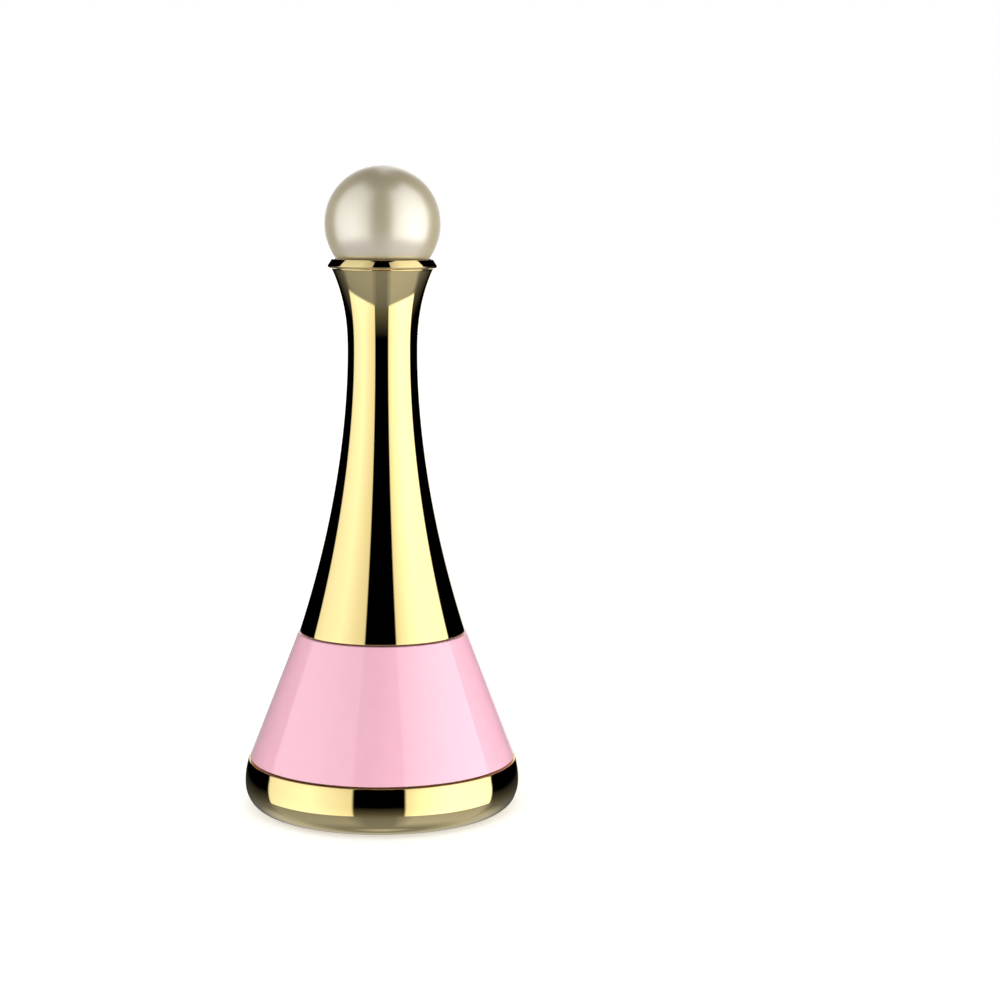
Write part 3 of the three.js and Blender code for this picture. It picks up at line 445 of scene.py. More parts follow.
def new_tree(name, sizes):
    """A Geometry Nodes tree with a named input for each size, and what its inputs give."""
    tree = bpy.data.node_groups.new(name, "GeometryNodeTree")
    kinds = {size: "Int" if isinstance(value, int) else "Float" for size, value in sizes.items()}
    for socket, kind in (("Geometry", "Geometry"), *kinds.items(), ("Finish", "Material")):
        tree.interface.new_socket(socket, in_out="INPUT", socket_type=f"NodeSocket{kind}")
    tree.interface.new_socket("Geometry", in_out="OUTPUT", socket_type="NodeSocketGeometry")
    inputs = tree.nodes.new("NodeGroupInput").outputs
    return tree, {socket.name: Flow(tree, socket) for socket in inputs}


def position(tree):
    """The three coordinates of each point."""
    return parted(flow(tree, "GeometryNodeInputPosition"))


def xyz(tree, x=0.0, y=0.0, z=0.0):
    return flow(tree, "ShaderNodeCombineXYZ", {0: x, 1: y, 2: z})


def bent_sheet(tree, along_count, across_count):
    """A sheet of faces, and how far along and across it each point lies, from 0 to 1."""
    sheet = flow(tree, "GeometryNodeMeshGrid", {
        "Size X": 1.0, "Size Y": 1.0, "Vertices X": along_count, "Vertices Y": across_count,
    })
    x, y, z = position(tree)
    return sheet, x + 0.5, y + 0.5


def moved(mesh, spot):
    return flow(mesh.tree, "GeometryNodeSetPosition", {"Geometry": mesh, "Position": spot})


def sewn(mesh):
    """A mesh with its seams closed."""
    return flow(mesh.tree, "GeometryNodeMergeByDistance", {"Geometry": mesh, "Distance": SEAM})


def at_polar(mesh, radius, angle, height):
    """Moves each point of a mesh to a radius, an angle and a height, and closes its seams."""
    spot = xyz(mesh.tree, radius * angle.calc("COSINE"), radius * angle.calc("SINE"), height)
    return sewn(moved(mesh, spot))


def crown(wave, power, sink):
    """A rounded top from the upper half of a wave, and a sunk foot from its lower half."""
    return wave.at_least(0.0) ** power + wave.at_most(0.0) * sink


def circle(tree, count, radius):
    return flow(tree, "GeometryNodeMeshCircle", {"Vertices": count, "Radius": radius})


def on_points(points, shape, heading=0.0):
    """A copy of a shape on each point, turned to a heading."""
    return flow(points.tree, "GeometryNodeInstanceOnPoints", {
        "Points": points, "Instance": shape, "Rotation": xyz(points.tree, z=heading),
    })


def joined(*meshes):
    join = place(meshes[0].tree, "GeometryNodeJoinGeometry")
    for mesh in meshes:
        mesh.to(join.inputs[0])
    return Flow(meshes[0].tree, join.outputs[0])


def finish_tree(given, *meshes):
    """Joins the meshes, makes them real, gives them their finish and ends the tree."""
    tree = meshes[0].tree
    real = flow(tree, "GeometryNodeRealizeInstances", {"Geometry": joined(*meshes)})
    coated = flow(tree, "GeometryNodeSetMaterial", {"Geometry": real, "Material": given["Finish"]})
    place(tree, "NodeGroupOutput", {"Geometry": coated})
    return tree


def kept(obj):
    """Makes what an object's modifiers give its own plain mesh."""
    evaluated = obj.evaluated_get(bpy.context.evaluated_depsgraph_get())
    mesh = bpy.data.meshes.new_from_object(evaluated)
    obj.modifiers.clear()
    obj.data = mesh
    return mesh


def formed(obj, tree, sizes, material, *stands_for, body="base", edge=0.0):
    """Runs a tree on an object, rounds its edges if asked, and settles the result as plain mesh."""
    modifier = obj.modifiers.new(tree.name, "NODES")
    modifier.node_group = tree
    values = {**sizes, "Finish": material}
    for item in tree.interface.items_tree:
        if item.in_out == "INPUT" and item.name in values:
            modifier[item.identifier] = values[item.name]
    if edge:
        bevel = obj.modifiers.new("edge", "BEVEL")
        bevel.width = edge * MM
        bevel.segments = 4
        bevel.limit_method = "ANGLE"
        bevel.angle_limit = CREASE
    kept(obj)
    settle(obj, material, *stands_for, body=body)


def finish(slot, colour, **sockets):
    """A material for a slot of the record, with its tree and its surface for more nodes."""
    material = bpy.data.materials.new(slot + FINISH)
    material.use_nodes = True
    surface = material.node_tree.nodes["Principled BSDF"].inputs
    surface["Base Color"].default_value = (*colour, 1)
    for socket, value in sockets.items():
        surface[socket.replace("_", " ").title().replace("Ior", "IOR")].default_value = value
    return material, material.node_tree, surface


def in_millimetres(tree, stretch=(1, 1, 1)):
    """The place on a piece in its own coordinates, stretched if asked."""
    spot = flow(tree, "ShaderNodeTexCoord", output="Object")
    scale = [share / MM for share in stretch]
    return flow(tree, "ShaderNodeMapping", {"Vector": spot, "Scale": scale})


def grain(tree, lumps, stretch=(1, 1, 1), detail=3.0):
    """Noise of that many lumps a millimetre, fixed to the piece."""
    spot = in_millimetres(tree, stretch)
    return flow(tree, "ShaderNodeTexNoise", {"Vector": spot, "Scale": lumps, "Detail": detail})


def vary(factor, low, high, socket):
    """Lets a socket run between two values over the middle of a noise."""
    run(factor, 0.3, 0.7, low, high).to(socket)


def tint(factor, first, second, socket):
    """Lets a colour socket run between two colours over the middle of a noise."""
    mixed(run(factor, 0.3, 0.7), first, second).to(socket)


def bump(height, depth, socket):
    """Raises a surface by a height, to a depth in millimetres."""
    heights = {"Height": height, "Distance": depth * MM, "Strength": 1.0}
    flow(height.tree, "ShaderNodeBump", heights).to(socket)


def grained(slot, colours, roughness, lumps, relief, clouds=0.0, stretch=(1, 1, 1), detail=3.0,
            **sockets):
    """A finish whose roughness, relief and colour follow lumps, or the colour its own clouds."""
    material, tree, surface = finish(slot, colours[0], **sockets)
    lumpy = grain(tree, lumps, stretch, detail)
    vary(lumpy, *roughness, surface["Roughness"])
    if len(colours) > 1:
        tint(grain(tree, clouds) if clouds else lumpy, *colours, surface["Base Color"])
    if relief:
        bump(lumpy, relief, surface["Normal"])
    return material


def settle(obj, material, *stands_for, body="base", slot=None):
    """Smooths a finished piece, coats it, ties it to its body and hides the CAD parts it stands
    for.
    """
    mesh = obj.data
    mesh.materials.clear()
    mesh.materials.append(material)
    mesh.shade_smooth()
    mesh.set_sharp_from_angle(angle=SHADING_BREAK)
    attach(obj, body)
    if stands_for:
        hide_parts(*stands_for)


tree, given = new_tree("pressed_pattern", PATTERN)
strip, along, across = bent_sheet(tree, 121, 25)
short_of = (1.0 - along.at_most(1.0 - along) / RIDGE_END).at_least(0.0)
size = (1.0 - short_of ** 2.0).calc("SQRT")
section = across * tau
reach = given["Petal Radius"] + given["Ridge Width"] * 0.5 * size * section.calc("COSINE")
drop = crown(section.calc("SINE"), *RIDGE_CROWN) * (given["Ridge Height"] * size)
arc_angle = (along - 0.5) * given["Petal Sweep"]
petal = at_polar(strip, reach, arc_angle, given["Face Height"] - drop)

cap, out, about = bent_sheet(tree, 25, 49)
profile = crown((out * pi).calc("COSINE"), *DOME_CROWN)
width = (out * pi).calc("SINE")
domes = {}
for size_name in ("Dot", "Middle"):
    dome_z = given["Face Height"] - profile * given[f"{size_name} Height"]
    domes[size_name] = at_polar(cap, width * given[f"{size_name} Radius"], about * tau, dome_z)

parts = [given["Geometry"], domes["Middle"]]
for shape, circle_name in ((petal, "Petal Circle"), (domes["Dot"], "Dot Circle")):
    x, y, z = position(tree)
    parts.append(on_points(
        circle(tree, given["Petals"], given[circle_name]), shape, y.calc("ARCTAN2", x)))
pattern_tree = finish_tree(given, *parts)

satin_gold = grained(
    "satin_gold", ((0.76, 0.64, 0.37), (0.80, 0.68, 0.41)), (0.36, 0.46), 9.0, 0.004,
    clouds=0.35, detail=2.0, metallic=0.5)
plate = turned("contact_plate", softened(stairs(
    0, PLATE_FACE, PLATE_RADIUS, PLATE_BACK, STUD_RADIUS, STUD_TOP, 0), 0.2))
formed(plate, pattern_tree, PATTERN, satin_gold, "electrode_plate")


# White ring and its seal
# A moulded white dish that keeps the plate apart from the metal foot. Its rim shows round the
# plate. A rubber ring in a groove behind it keeps water out.
RING_RADIUS = 16.75
RING_FACE = 0.3
DISH_RADIUS = 14.2
DISH_FLOOR = 1.5
DISH_BACK = 2.3
DISH_BORE = STUD_RADIUS + 0.3
GROOVE_OUTER = 15.9
GROOVE_INNER = 14.8
GROOVE_FLOOR = DISH_BACK - 0.8
PLATE_SEAL = (15.0, 15.7, 1.7, DISH_BACK)  # inner and outer radius, foot, top


def tube(inner, outer, foot, top):
    """The outline of a ring, or of a rod where its inner radius is 0."""
    return stairs(inner, foot, outer, top, inner)


def lathed(name, stands_for, material, outline, corner, sides=64, at=(0, 0), body="base"):
    """A finished piece turned from an outline, with its corners rounded."""
    settle(turned(name, softened(outline, corner), sides, at), material, stands_for, body=body)


white_plastic = grained(
    "white_plastic", ((0.86, 0.86, 0.855), (0.885, 0.885, 0.88)), (0.34, 0.46), 5.0, 0.002,
    clouds=0.3, coat_weight=0.15, coat_roughness=0.25)
lathed("white_ring", "insulating_ring", white_plastic, stairs(
    DISH_BORE, DISH_FLOOR, DISH_RADIUS, RING_FACE, RING_RADIUS, DISH_BACK, GROOVE_OUTER,
    GROOVE_FLOOR, GROOVE_INNER, DISH_BACK, DISH_BORE), 0.2, 160)

rubber = grained("rubber", ((0.010, 0.010, 0.011), (0.022, 0.021, 0.020)), (0.62, 0.85), 3.0, 0.006)
lathed("plate_seal_ring", "plate_seal", rubber, tube(*PLATE_SEAL), 0.25, 160)


# Gold foot
# The heavy rounded ring that the massager stands on, cast and plated in mirror gold. A web
# inside it carries the white ring, the board's rib and the heads of three screws.
FOOT_OPENING = 16.95
FOOT_LAND = 17.5
FOOT_BULGE = 3.5
FOOT_TOP = 7.4
FOOT_WIDEST = 4.0
FOOT_INSET = 0.55
FOOT_CURVE = 2.2
FOOT_BORE = 17.78
BOARD_RADIUS = 15.38
BOARD_FOOT = 6.0
RIB_BORE = 14.58
WEB_FOOT = 2.3
WEB_TOP = 3.7
WEB_BORE = STUD_RADIUS + 0.7
SCREW_CIRCLE = 11.98
SCREW_SEAT = 3.1
COUNTERBORE = 1.9
CLEARANCE = 1.1
SLIVER = 0.001


def spaced(first, last, steps):
    """Numbers in even steps from the first to the last."""
    return [first + (last - first) * step / steps for step in range(steps + 1)]


def arc(radius, first, last, steps, middle=(0, 0)):
    """Points on an arc from one angle to another, in degrees."""
    angles = [radians(angle) for angle in spaced(first, last, steps)]
    return [(middle[0] + radius * cos(angle), middle[1] + radius * sin(angle))
            for angle in angles]


def pin(name, radius, foot, top, at=(0, 0), sides=48):
    return turned(name, tube(0, radius, foot, top), sides, at)


def cut(obj, *tools, added=()):
    """Joins what is added to a piece, cuts tools out of it and mends its slivers."""
    for tool in (*added, *tools):
        modifier = obj.modifiers.new("cut", "BOOLEAN")
        modifier.operation = "UNION" if tool in added else "DIFFERENCE"
        modifier.solver = "EXACT"
        modifier.object = tool
    mesh = kept(obj)
    bm = bmesh.new()
    bm.from_mesh(mesh)
    bmesh.ops.remove_doubles(bm, verts=bm.verts, dist=SLIVER * MM)
    bmesh.ops.triangulate(bm, faces=[face for face in bm.faces if len(face.verts) > 4])
    bmesh.ops.dissolve_degenerate(bm, edges=bm.edges, dist=SLIVER * MM)
    bmesh.ops.holes_fill(bm, edges=[line for line in bm.edges if line.is_boundary], sides=4)
    bmesh.ops.recalc_face_normals(bm, faces=bm.faces)
    bm.to_mesh(mesh)
    bm.free()
    for tool in (*added, *tools):
        bpy.data.objects.remove(tool)


mirror_gold, tree, surface = finish("mirror_gold", (0.93, 0.765, 0.355), metallic=1.0)
vary(grain(tree, 0.25, detail=4.0), 0.02, 0.045, surface["Roughness"])
bump(grain(tree, 0.6, detail=1.0), 0.00004, surface["Normal"])

bulge = [(
    FOOT_LAND + FOOT_BULGE * sin(quarter) ** (2 / FOOT_CURVE),
    FOOT_WIDEST * (1 - max(cos(quarter), 0) ** (2 / FOOT_CURVE)),
) for quarter in spaced(0, pi / 2, 24)]
flank = [(
    FOOT_LAND + FOOT_BULGE - FOOT_INSET * rise ** 2,
    FOOT_WIDEST + (FOOT_TOP - FOOT_WIDEST) * rise,
) for rise in spaced(0, 1, 10)[1:]]
outline = [(FOOT_OPENING, 0), *bulge, *flank, *stairs(
    FOOT_LAND, FOOT_TOP, FOOT_BORE, WEB_TOP, BOARD_RADIUS, BOARD_FOOT, RIB_BORE, WEB_TOP,
    WEB_BORE, WEB_FOOT, FOOT_OPENING)[1:]]
gold_foot = turned("gold_foot", softened(outline, 0.15), sides=192)
screw_places = arc(SCREW_CIRCLE, 60, 300, 2)
holes = []
for at in screw_places:
    holes.append(pin("counterbore", COUNTERBORE, WEB_FOOT - 1, SCREW_SEAT, at))
    holes.append(pin("clearance", CLEARANCE, SCREW_SEAT - 0.5, WEB_TOP + 1, at))
cut(gold_foot, *holes)
settle(gold_foot, mirror_gold, "foot_ring")


# Foot screws
# Three steel pan-head screws in the web, put in from below before the plate goes on. They draw
# the frame's bosses down into the foot.
SCREW = {
    "Count": 3,
    "Circle Radius": SCREW_CIRCLE * MM,
    "First Angle": radians(60),
}
SCREW_HEAD = (0, 2.75, 0.7, 2.4, 1.6, SCREW_SEAT, 0.8)  # radius, height, radius and so on
SCREW_RADII = (0.8, 0.66)
SCREW_STEP = 0.2
SCREW_TIP = (0.45, 7.1, 0)

steel = grained("steel", [(0.56, 0.57, 0.58)], (0.2, 0.36), 3.0, 0.0015, stretch=(1, 1, 0.08),
                metallic=1.0)

tree, given = new_tree("screws_in_a_ring", SCREW)
ring = flow(tree, "GeometryNodeTransform", {
    "Geometry": circle(tree, given["Count"], given["Circle Radius"]),
    "Rotation": xyz(tree, z=given["First Angle"]),
})
screw_tree = finish_tree(given, on_points(ring, given["Geometry"]))
screws = turned("foot_screws", softened([
    *stairs(*SCREW_HEAD),
    *[(SCREW_RADII[step % 2], SCREW_SEAT + SCREW_STEP * (step + 1)) for step in range(1, 18)],
    *stairs(*SCREW_TIP),
], 0.08, steps=2, sharpest=50), sides=48)
formed(screws, screw_tree, SCREW, steel, "foot_screw_1", "foot_screw_2", "foot_screw_3")


# Circuit board
# A round green board that sits on the foot's rib and makes the pulse and the motor's current. A
# spring pin in its middle takes the plate's stud.
BOARD_TOP = 7.0
BOSS_HOLE = 2.6
MASK_GREEN = (0.018, 0.10, 0.04)
TRACK_GREEN = (0.05, 0.21, 0.085)
TRACK_EDGE = (0.05, 0.07)
SPRING_PIN = (0, STUD_TOP, 0.7, 5.0, 1.1, BOARD_FOOT, 0)

board_green, tree, surface = finish(
    "board_green", MASK_GREEN, roughness=0.35, coat_weight=0.6, coat_roughness=0.12)
cells = flow(tree, "ShaderNodeTexVoronoi", {
    "Vector": in_millimetres(tree), "Scale": 0.42, "Randomness": 0.35,
}, feature="DISTANCE_TO_EDGE", distance="EUCLIDEAN")
track = run(cells, *TRACK_EDGE, 1.0, 0.0)
mixed(track, MASK_GREEN, TRACK_GREEN).to(surface["Base Color"])
bump(track, 0.03, surface["Normal"])
round_board = turned(
    "round_board", softened(tube(0, BOARD_RADIUS, BOARD_FOOT, BOARD_TOP), 0.08), sides=128)
cut(round_board, *[
    pin("boss_hole", BOSS_HOLE, BOARD_FOOT - 1, BOARD_TOP + 1, at) for at in screw_places])
settle(round_board, board_green, "circuit_board")

brass = grained(
    "brass", ((0.66, 0.43, 0.13), (0.76, 0.53, 0.20)), (0.18, 0.34), 6.0, 0.002,
    clouds=0.5, stretch=(0.15, 0.15, 1), metallic=1.0)
lathed("spring_pin", "contact_pin", brass, stairs(*SPRING_PIN), 0.15, 48)


# Parts under the board
# A moulded chip on tinned legs, a coil wound on a ferrite core, and two fired ceramic capacitors
# with tinned ends. All are soldered to the board's lower face.
CHIP_PLACE = (-5.54, 5.54)
CHIP_WIDTH = 5.0
CHIP_FACE = 5.0
MARK_INSET = 1.7
MARK_RADIUS = 0.35
LEG_STAND_OFF = 0.08
LEGS = {
    "Legs a Side": 5,
    "Pitch": 0.95 * MM,
    "Body Width": CHIP_WIDTH * MM,
    "Place X": CHIP_PLACE[0] * MM,
    "Place Y": CHIP_PLACE[1] * MM,
}
LEG_PROFILE = (
    # out from the chip's side, height
    (-0.15, 5.4), (0.4, 5.4), (0.6, 5.84), (1.0, 5.84), (1.0, 5.98), (0.5, 5.98), (0.3, 5.54),
    (-0.15, 5.54),
)
LEG_HALF_WIDTH = 0.21
COIL_PLACE = (7.38, 0)
COIL_RADIUS = 2.8
COIL_FACE = 4.2
COIL_FLANGE = 0.4
DIMPLE = (0, COIL_FACE + 0.15, 0.7)
CORE_RADIUS = 1.4
WIRE = 0.18
WINDING_BORE = 1.5
WINDING_RADIUS = COIL_RADIUS - 0.5
WINDING_GAP = 0.05
WIRE_STEPS = 6
CAPACITOR_PLACES = ((-1.54, -5.38), (-1.54, -8.0))
CAPACITOR_SIZE = (3.2, 1.6, 1.5)
CAPACITOR_END = 0.55
CAPACITOR_STEP = 0.1
SOLDER_GAP = 0.01


def drawn_up(name, outline, foot, top, edge):
    """A flat outline drawn up from one height to another, with its sharp edges rounded."""
    bm = bmesh.new()
    flat = bm.faces.new([bm.verts.new((x * MM, y * MM, foot * MM)) for x, y in outline])
    grown = bmesh.ops.extrude_face_region(bm, geom=[flat])["geom"]
    raised = [point for point in grown if isinstance(point, bmesh.types.BMVert)]
    bmesh.ops.translate(bm, verts=raised, vec=(0, 0, (top - foot) * MM))
    bmesh.ops.recalc_face_normals(bm, faces=bm.faces)
    sharp = [line for line in bm.edges if line.calc_face_angle() > CREASE]
    bmesh.ops.bevel(bm, geom=sharp, offset=edge * MM, segments=3, affect="EDGES")
    return solid(name, bm)


def block(name, middle, size, edge):
    """A block round a middle, in millimetres, with its edges rounded."""
    half = [side / 2 for side in size]
    outline = [(middle[0] + x * half[0], middle[1] + y * half[1]) for x, y in SQUARE]
    return drawn_up(name, outline, middle[2] - half[2], middle[2] + half[2], edge)


black_plastic = grained(
    "black_plastic", ((0.018, 0.018, 0.020), (0.030, 0.030, 0.032)), (0.42, 0.6), 6.0, 0.006)
chip_height = BOARD_FOOT - CHIP_FACE - LEG_STAND_OFF
chip = block(
    "moulded_chip", (*CHIP_PLACE, CHIP_FACE + chip_height / 2),
    (CHIP_WIDTH, CHIP_WIDTH, chip_height), 0.12)
first_leg_mark = (CHIP_PLACE[0] - MARK_INSET, CHIP_PLACE[1] - MARK_INSET)
cut(chip, pin("first_leg_mark", MARK_RADIUS, CHIP_FACE - 1, CHIP_FACE + 0.1, first_leg_mark))
settle(chip, black_plastic, "controller_chip")

nickel = grained("nickel", [(0.63, 0.62, 0.60)], (0.16, 0.3), 4.0, 0.001, stretch=(1, 0.1, 1),
                 metallic=1.0)

tree, given = new_tree("legs_of_a_chip", LEGS)
rows = flow(tree, "GeometryNodeMeshGrid", {
    "Size X": given["Body Width"], "Size Y": (given["Legs a Side"] - 1.0) * given["Pitch"],
    "Vertices X": 2, "Vertices Y": given["Legs a Side"],
})
x, y, z = position(tree)
legs = on_points(rows, given["Geometry"], x.calc("LESS_THAN", 0.0) * pi)
legs = flow(tree, "GeometryNodeTransform", {
    "Geometry": legs, "Translation": xyz(tree, given["Place X"], given["Place Y"]),
})
leg_tree = finish_tree(given, legs)
chip_legs = drawn_up("chip_legs", LEG_PROFILE, -LEG_HALF_WIDTH, LEG_HALF_WIDTH, 0.02)
chip_legs.data.transform(Matrix.Rotation(pi / 2, 4, "X"))
formed(chip_legs, leg_tree, LEGS, nickel)

ferrite = grained("ferrite", ((0.055, 0.055, 0.06), (0.10, 0.10, 0.105)), (0.5, 0.75), 8.0, 0.01)
flange_top = COIL_FACE + COIL_FLANGE
flange_foot = BOARD_FOOT - COIL_FLANGE
lathed("ferrite_core", "boost_inductor", ferrite, stairs(
    *DIMPLE, COIL_FACE, COIL_RADIUS, flange_top, CORE_RADIUS, flange_foot, COIL_RADIUS,
    BOARD_FOOT, 0), 0.1, 96, COIL_PLACE)

copper = grained(
    "enamelled_copper", ((0.55, 0.20, 0.08), (0.68, 0.28, 0.12)), (0.24, 0.38), 3.0, 0.0,
    metallic=1.0, coat_weight=0.5, coat_roughness=0.1)
turns = int((flange_foot - flange_top) / WIRE)
first_turn = flange_top + WINDING_GAP
wound = [(WINDING_BORE, first_turn)]
for step in range(turns * WIRE_STEPS + 1):
    swell = 0.5 * WIRE * abs(sin(pi * step / WIRE_STEPS))
    wound.append((WINDING_RADIUS + swell, first_turn + WIRE * step / WIRE_STEPS))
wound.append((WINDING_BORE, wound[-1][1]))
settle(turned("coil_winding", wound, 96, COIL_PLACE), copper, slot="brass")

ceramic = grained(
    "ceramic_tan", ((0.36, 0.24, 0.11), (0.45, 0.31, 0.16)), (0.38, 0.55), 5.0, 0.004)
length, width, height = CAPACITOR_SIZE
inner_size = (
    length - 2 * CAPACITOR_END + CAPACITOR_STEP, width - CAPACITOR_STEP, height - CAPACITOR_STEP)
end_size = (CAPACITOR_END, width, height - 2 * SOLDER_GAP)
for number, (x, y) in enumerate(CAPACITOR_PLACES, start=1):
    middle = BOARD_FOOT - height / 2
    body = block(f"ceramic_block_{number}", (x, y, middle - 2 * SOLDER_GAP), inner_size, 0.06)
    settle(body, ceramic, f"capacitor_{number}")
    for end, reach in (("a", -1), ("b", 1)):
        place_x = x + reach * (length - CAPACITOR_END) / 2
        cap = block(f"tinned_end_{number}{end}", (place_x, y, middle - SOLDER_GAP), end_size, 0.1)
        settle(cap, nickel)


# Inner frame
# One ivory moulding that carries everything: a floor over the board with bosses for the screws,
# a tube round the cell, a shoulder for the band and a threaded neck for the handle.
FRAME_RADIUS = 18.68
FRAME_FLOOR = 8.6
TUBE_BORE = 5.6
TUBE_RADIUS = 6.6
NECK_RADIUS = 7.6
NECK_TOP = 35.0
SHOULDER_RADIUS = 10.9
SHOULDER_FOOT = 23.4
SHOULDER_RIM = 24.8
SHOULDER_TOP = 25.8
SEAL_HEIGHT = 28.175
SEAL_MIDDLE = 7.9
SEAL_CORD = 0.5
SEAL_GROOVE = (SEAL_HEIGHT - 0.6, 7.2, SEAL_HEIGHT + 0.6)  # foot, inner radius, top
MOTOR_PLACE = (10.9, 0)
TAB_PLACE = 2.52
BOSS_RADIUS = 2.3
BOSS_TOP = 8.0
BORE_FOOT = 3.0
LEAD_CIRCLE = 9.0
RING_LEAD_HOLE = 0.75
MOTOR_LEAD_HOLE = 2.0
TAB_SLOT = (1.2, 7.2)  # radius, foot
FLOOR_CLEAR = 9.0
SHOULDER_CLEAR = 27.0
THREAD = {
    "Foot Height": 29.3 * MM,
    "Pitch": 2.0 * MM,
    "Turns": 2.5,
    "Buried Radius": (NECK_RADIUS - 0.3) * MM,
    "Root Radius": NECK_RADIUS * MM,
    "Tip Radius": 8.3 * MM,
    "Half Width": 0.475 * MM,
}
CREST_POWER = 0.6
CREST_NARROWING = 0.4
RUN_IN = 0.12  # the turns in which a thread's end runs in

tree, given = new_tree("screw_thread", THREAD)
strip, along, across = bent_sheet(tree, 321, 17)
section = across * tau
out = section.calc("COSINE")
crest = out.at_least(0.0) ** CREST_POWER * (given["Tip Radius"] - given["Root Radius"])
bite = (out * -1.0).at_least(0.0) * (given["Buried Radius"] - given["Root Radius"])
run_in = (along.at_most(1.0 - along) * given["Turns"] / RUN_IN).at_most(1.0)
stand_out = run_in * (given["Root Radius"] + (crest + bite) - given["Buried Radius"])
narrow = 1.0 - out.at_least(0.0) * CREST_NARROWING
rise = given["Half Width"] * run_in * narrow * section.calc("SINE")
wound = along * given["Turns"]
ridge = at_polar(
    strip, given["Buried Radius"] + stand_out, wound * tau,
    given["Foot Height"] + rise + wound * given["Pitch"])
thread_tree = finish_tree(given, given["Geometry"], ridge)

ivory = grained(
    "ivory_plastic", ((0.63, 0.58, 0.47), (0.69, 0.64, 0.53)), (0.38, 0.52), 2.0, 0.004,
    stretch=(1, 1, 0.3), subsurface_weight=0.05, subsurface_scale=0.002)
inner_frame = turned("moulded_frame", softened([
    *stairs(0, FOOT_TOP, RIB_BORE, BOARD_TOP, BOARD_RADIUS, FOOT_TOP, FRAME_RADIUS, FRAME_FLOOR,
            TUBE_RADIUS, SHOULDER_FOOT),
    (SHOULDER_RADIUS, SHOULDER_RIM),
    *stairs(SHOULDER_RADIUS, SHOULDER_TOP, NECK_RADIUS, *SEAL_GROOVE, NECK_RADIUS, NECK_TOP,
            TUBE_BORE, FRAME_FLOOR, 0),
], 0.12, steps=2), sides=128)
lead_place = arc(LEAD_CIRCLE, 120, 120, 1)[0]
holes = [
    pin("tab_slot", *TAB_SLOT, FLOOR_CLEAR, (TAB_PLACE, 0)),
    pin("motor_lead_hole", MOTOR_LEAD_HOLE, BOARD_TOP, FLOOR_CLEAR, MOTOR_PLACE),
    pin("ring_lead_hole", RING_LEAD_HOLE, BOARD_TOP, SHOULDER_CLEAR, lead_place),
    *[pin("screw_bore", CLEARANCE, BORE_FOOT, BOSS_TOP, at) for at in screw_places],
]
bosses = [pin("boss", BOSS_RADIUS, WEB_TOP, BOSS_TOP, at) for at in screw_places]
cut(inner_frame, *holes, added=bosses)
formed(inner_frame, thread_tree, THREAD, ivory, "inner_frame")

seal_outline = arc(SEAL_CORD, 0, 360, 16, (SEAL_MIDDLE, SEAL_HEIGHT))[:-1]
settle(turned("neck_seal_ring", seal_outline, 128), rubber, "neck_seal")


# Cell
# One small round dry cell in a plain printed film, nub down, on a nickel-plated contact whose
# tab goes down to the board.
CONTACT_RADIUS = 3.6
CONTACT_TOP = 9.0
TAB_HEIGHT = 7.9
TAB_SIZE = (0.4, 1.6, 1.8)
NUB_RADIUS = 1.9
CELL_RADIUS = 5.25
CELL_FOOT = 9.8
CELL_TOP = 53.5
FILM_LINE = 20.0
FILM_BLUE = (0.028, 0.07, 0.18)
FILM_SILVER = (0.55, 0.55, 0.56)

lathed("nub_contact", "cell_contact", nickel,
       tube(0, CONTACT_RADIUS, FRAME_FLOOR, CONTACT_TOP), 0.12)
settle(block("contact_tab", (TAB_PLACE, 0, TAB_HEIGHT), TAB_SIZE, 0.1), nickel)

cell_wrap, tree, surface = finish(
    "cell_wrap", FILM_BLUE, metallic=0.3, coat_weight=0.7, coat_roughness=0.08)
x, y, z = parted(flow(tree, "ShaderNodeTexCoord", output="Object"))
silver_end = run(z, (FILM_LINE - 0.1) * MM, (FILM_LINE + 0.1) * MM, 1.0, 0.0)
mixed(silver_end, FILM_BLUE, FILM_SILVER).to(surface["Base Color"])
vary(grain(tree, 1.5), 0.22, 0.36, surface["Roughness"])
lathed("dry_cell", "battery_cell", cell_wrap, tube(0, CELL_RADIUS, CELL_FOOT, CELL_TOP), 0.5, 96)
lathed("cell_nub", "battery_nub", nickel, tube(0, NUB_RADIUS, CONTACT_TOP, CELL_FOOT), 0.25)


# Vibration motor
# A small can motor held upright by a rubber sleeve beside the cell. A half-round weight on its
# shaft makes the foot tremble, and two leads go down to the board.
MOTOR_RADIUS = 3.0
MOTOR_FOOT = 9.6
MOTOR_CAN = (0, MOTOR_FOOT, MOTOR_RADIUS, 17.2, 1.2, 17.7, 0.6, 12.2, 0)
SLEEVE = (3.2, 3.9, FRAME_FLOOR, 14.6)  # inner and outer radius, foot, top
SHAFT_RADIUS = 0.4
SHAFT_FOOT = 12.4
SHAFT_TOP = 21.7
WEIGHT_RADIUS = 2.3
WEIGHT_HUB = 1.0
WEIGHT_FOOT = 18.2
WEIGHT_TOP = 21.2
LEAD_RADIUS = 0.35
LEAD_BEND = 0.5
LEAD_OFFSET = 1.3
RING_LEAD_RADIUS = 0.45

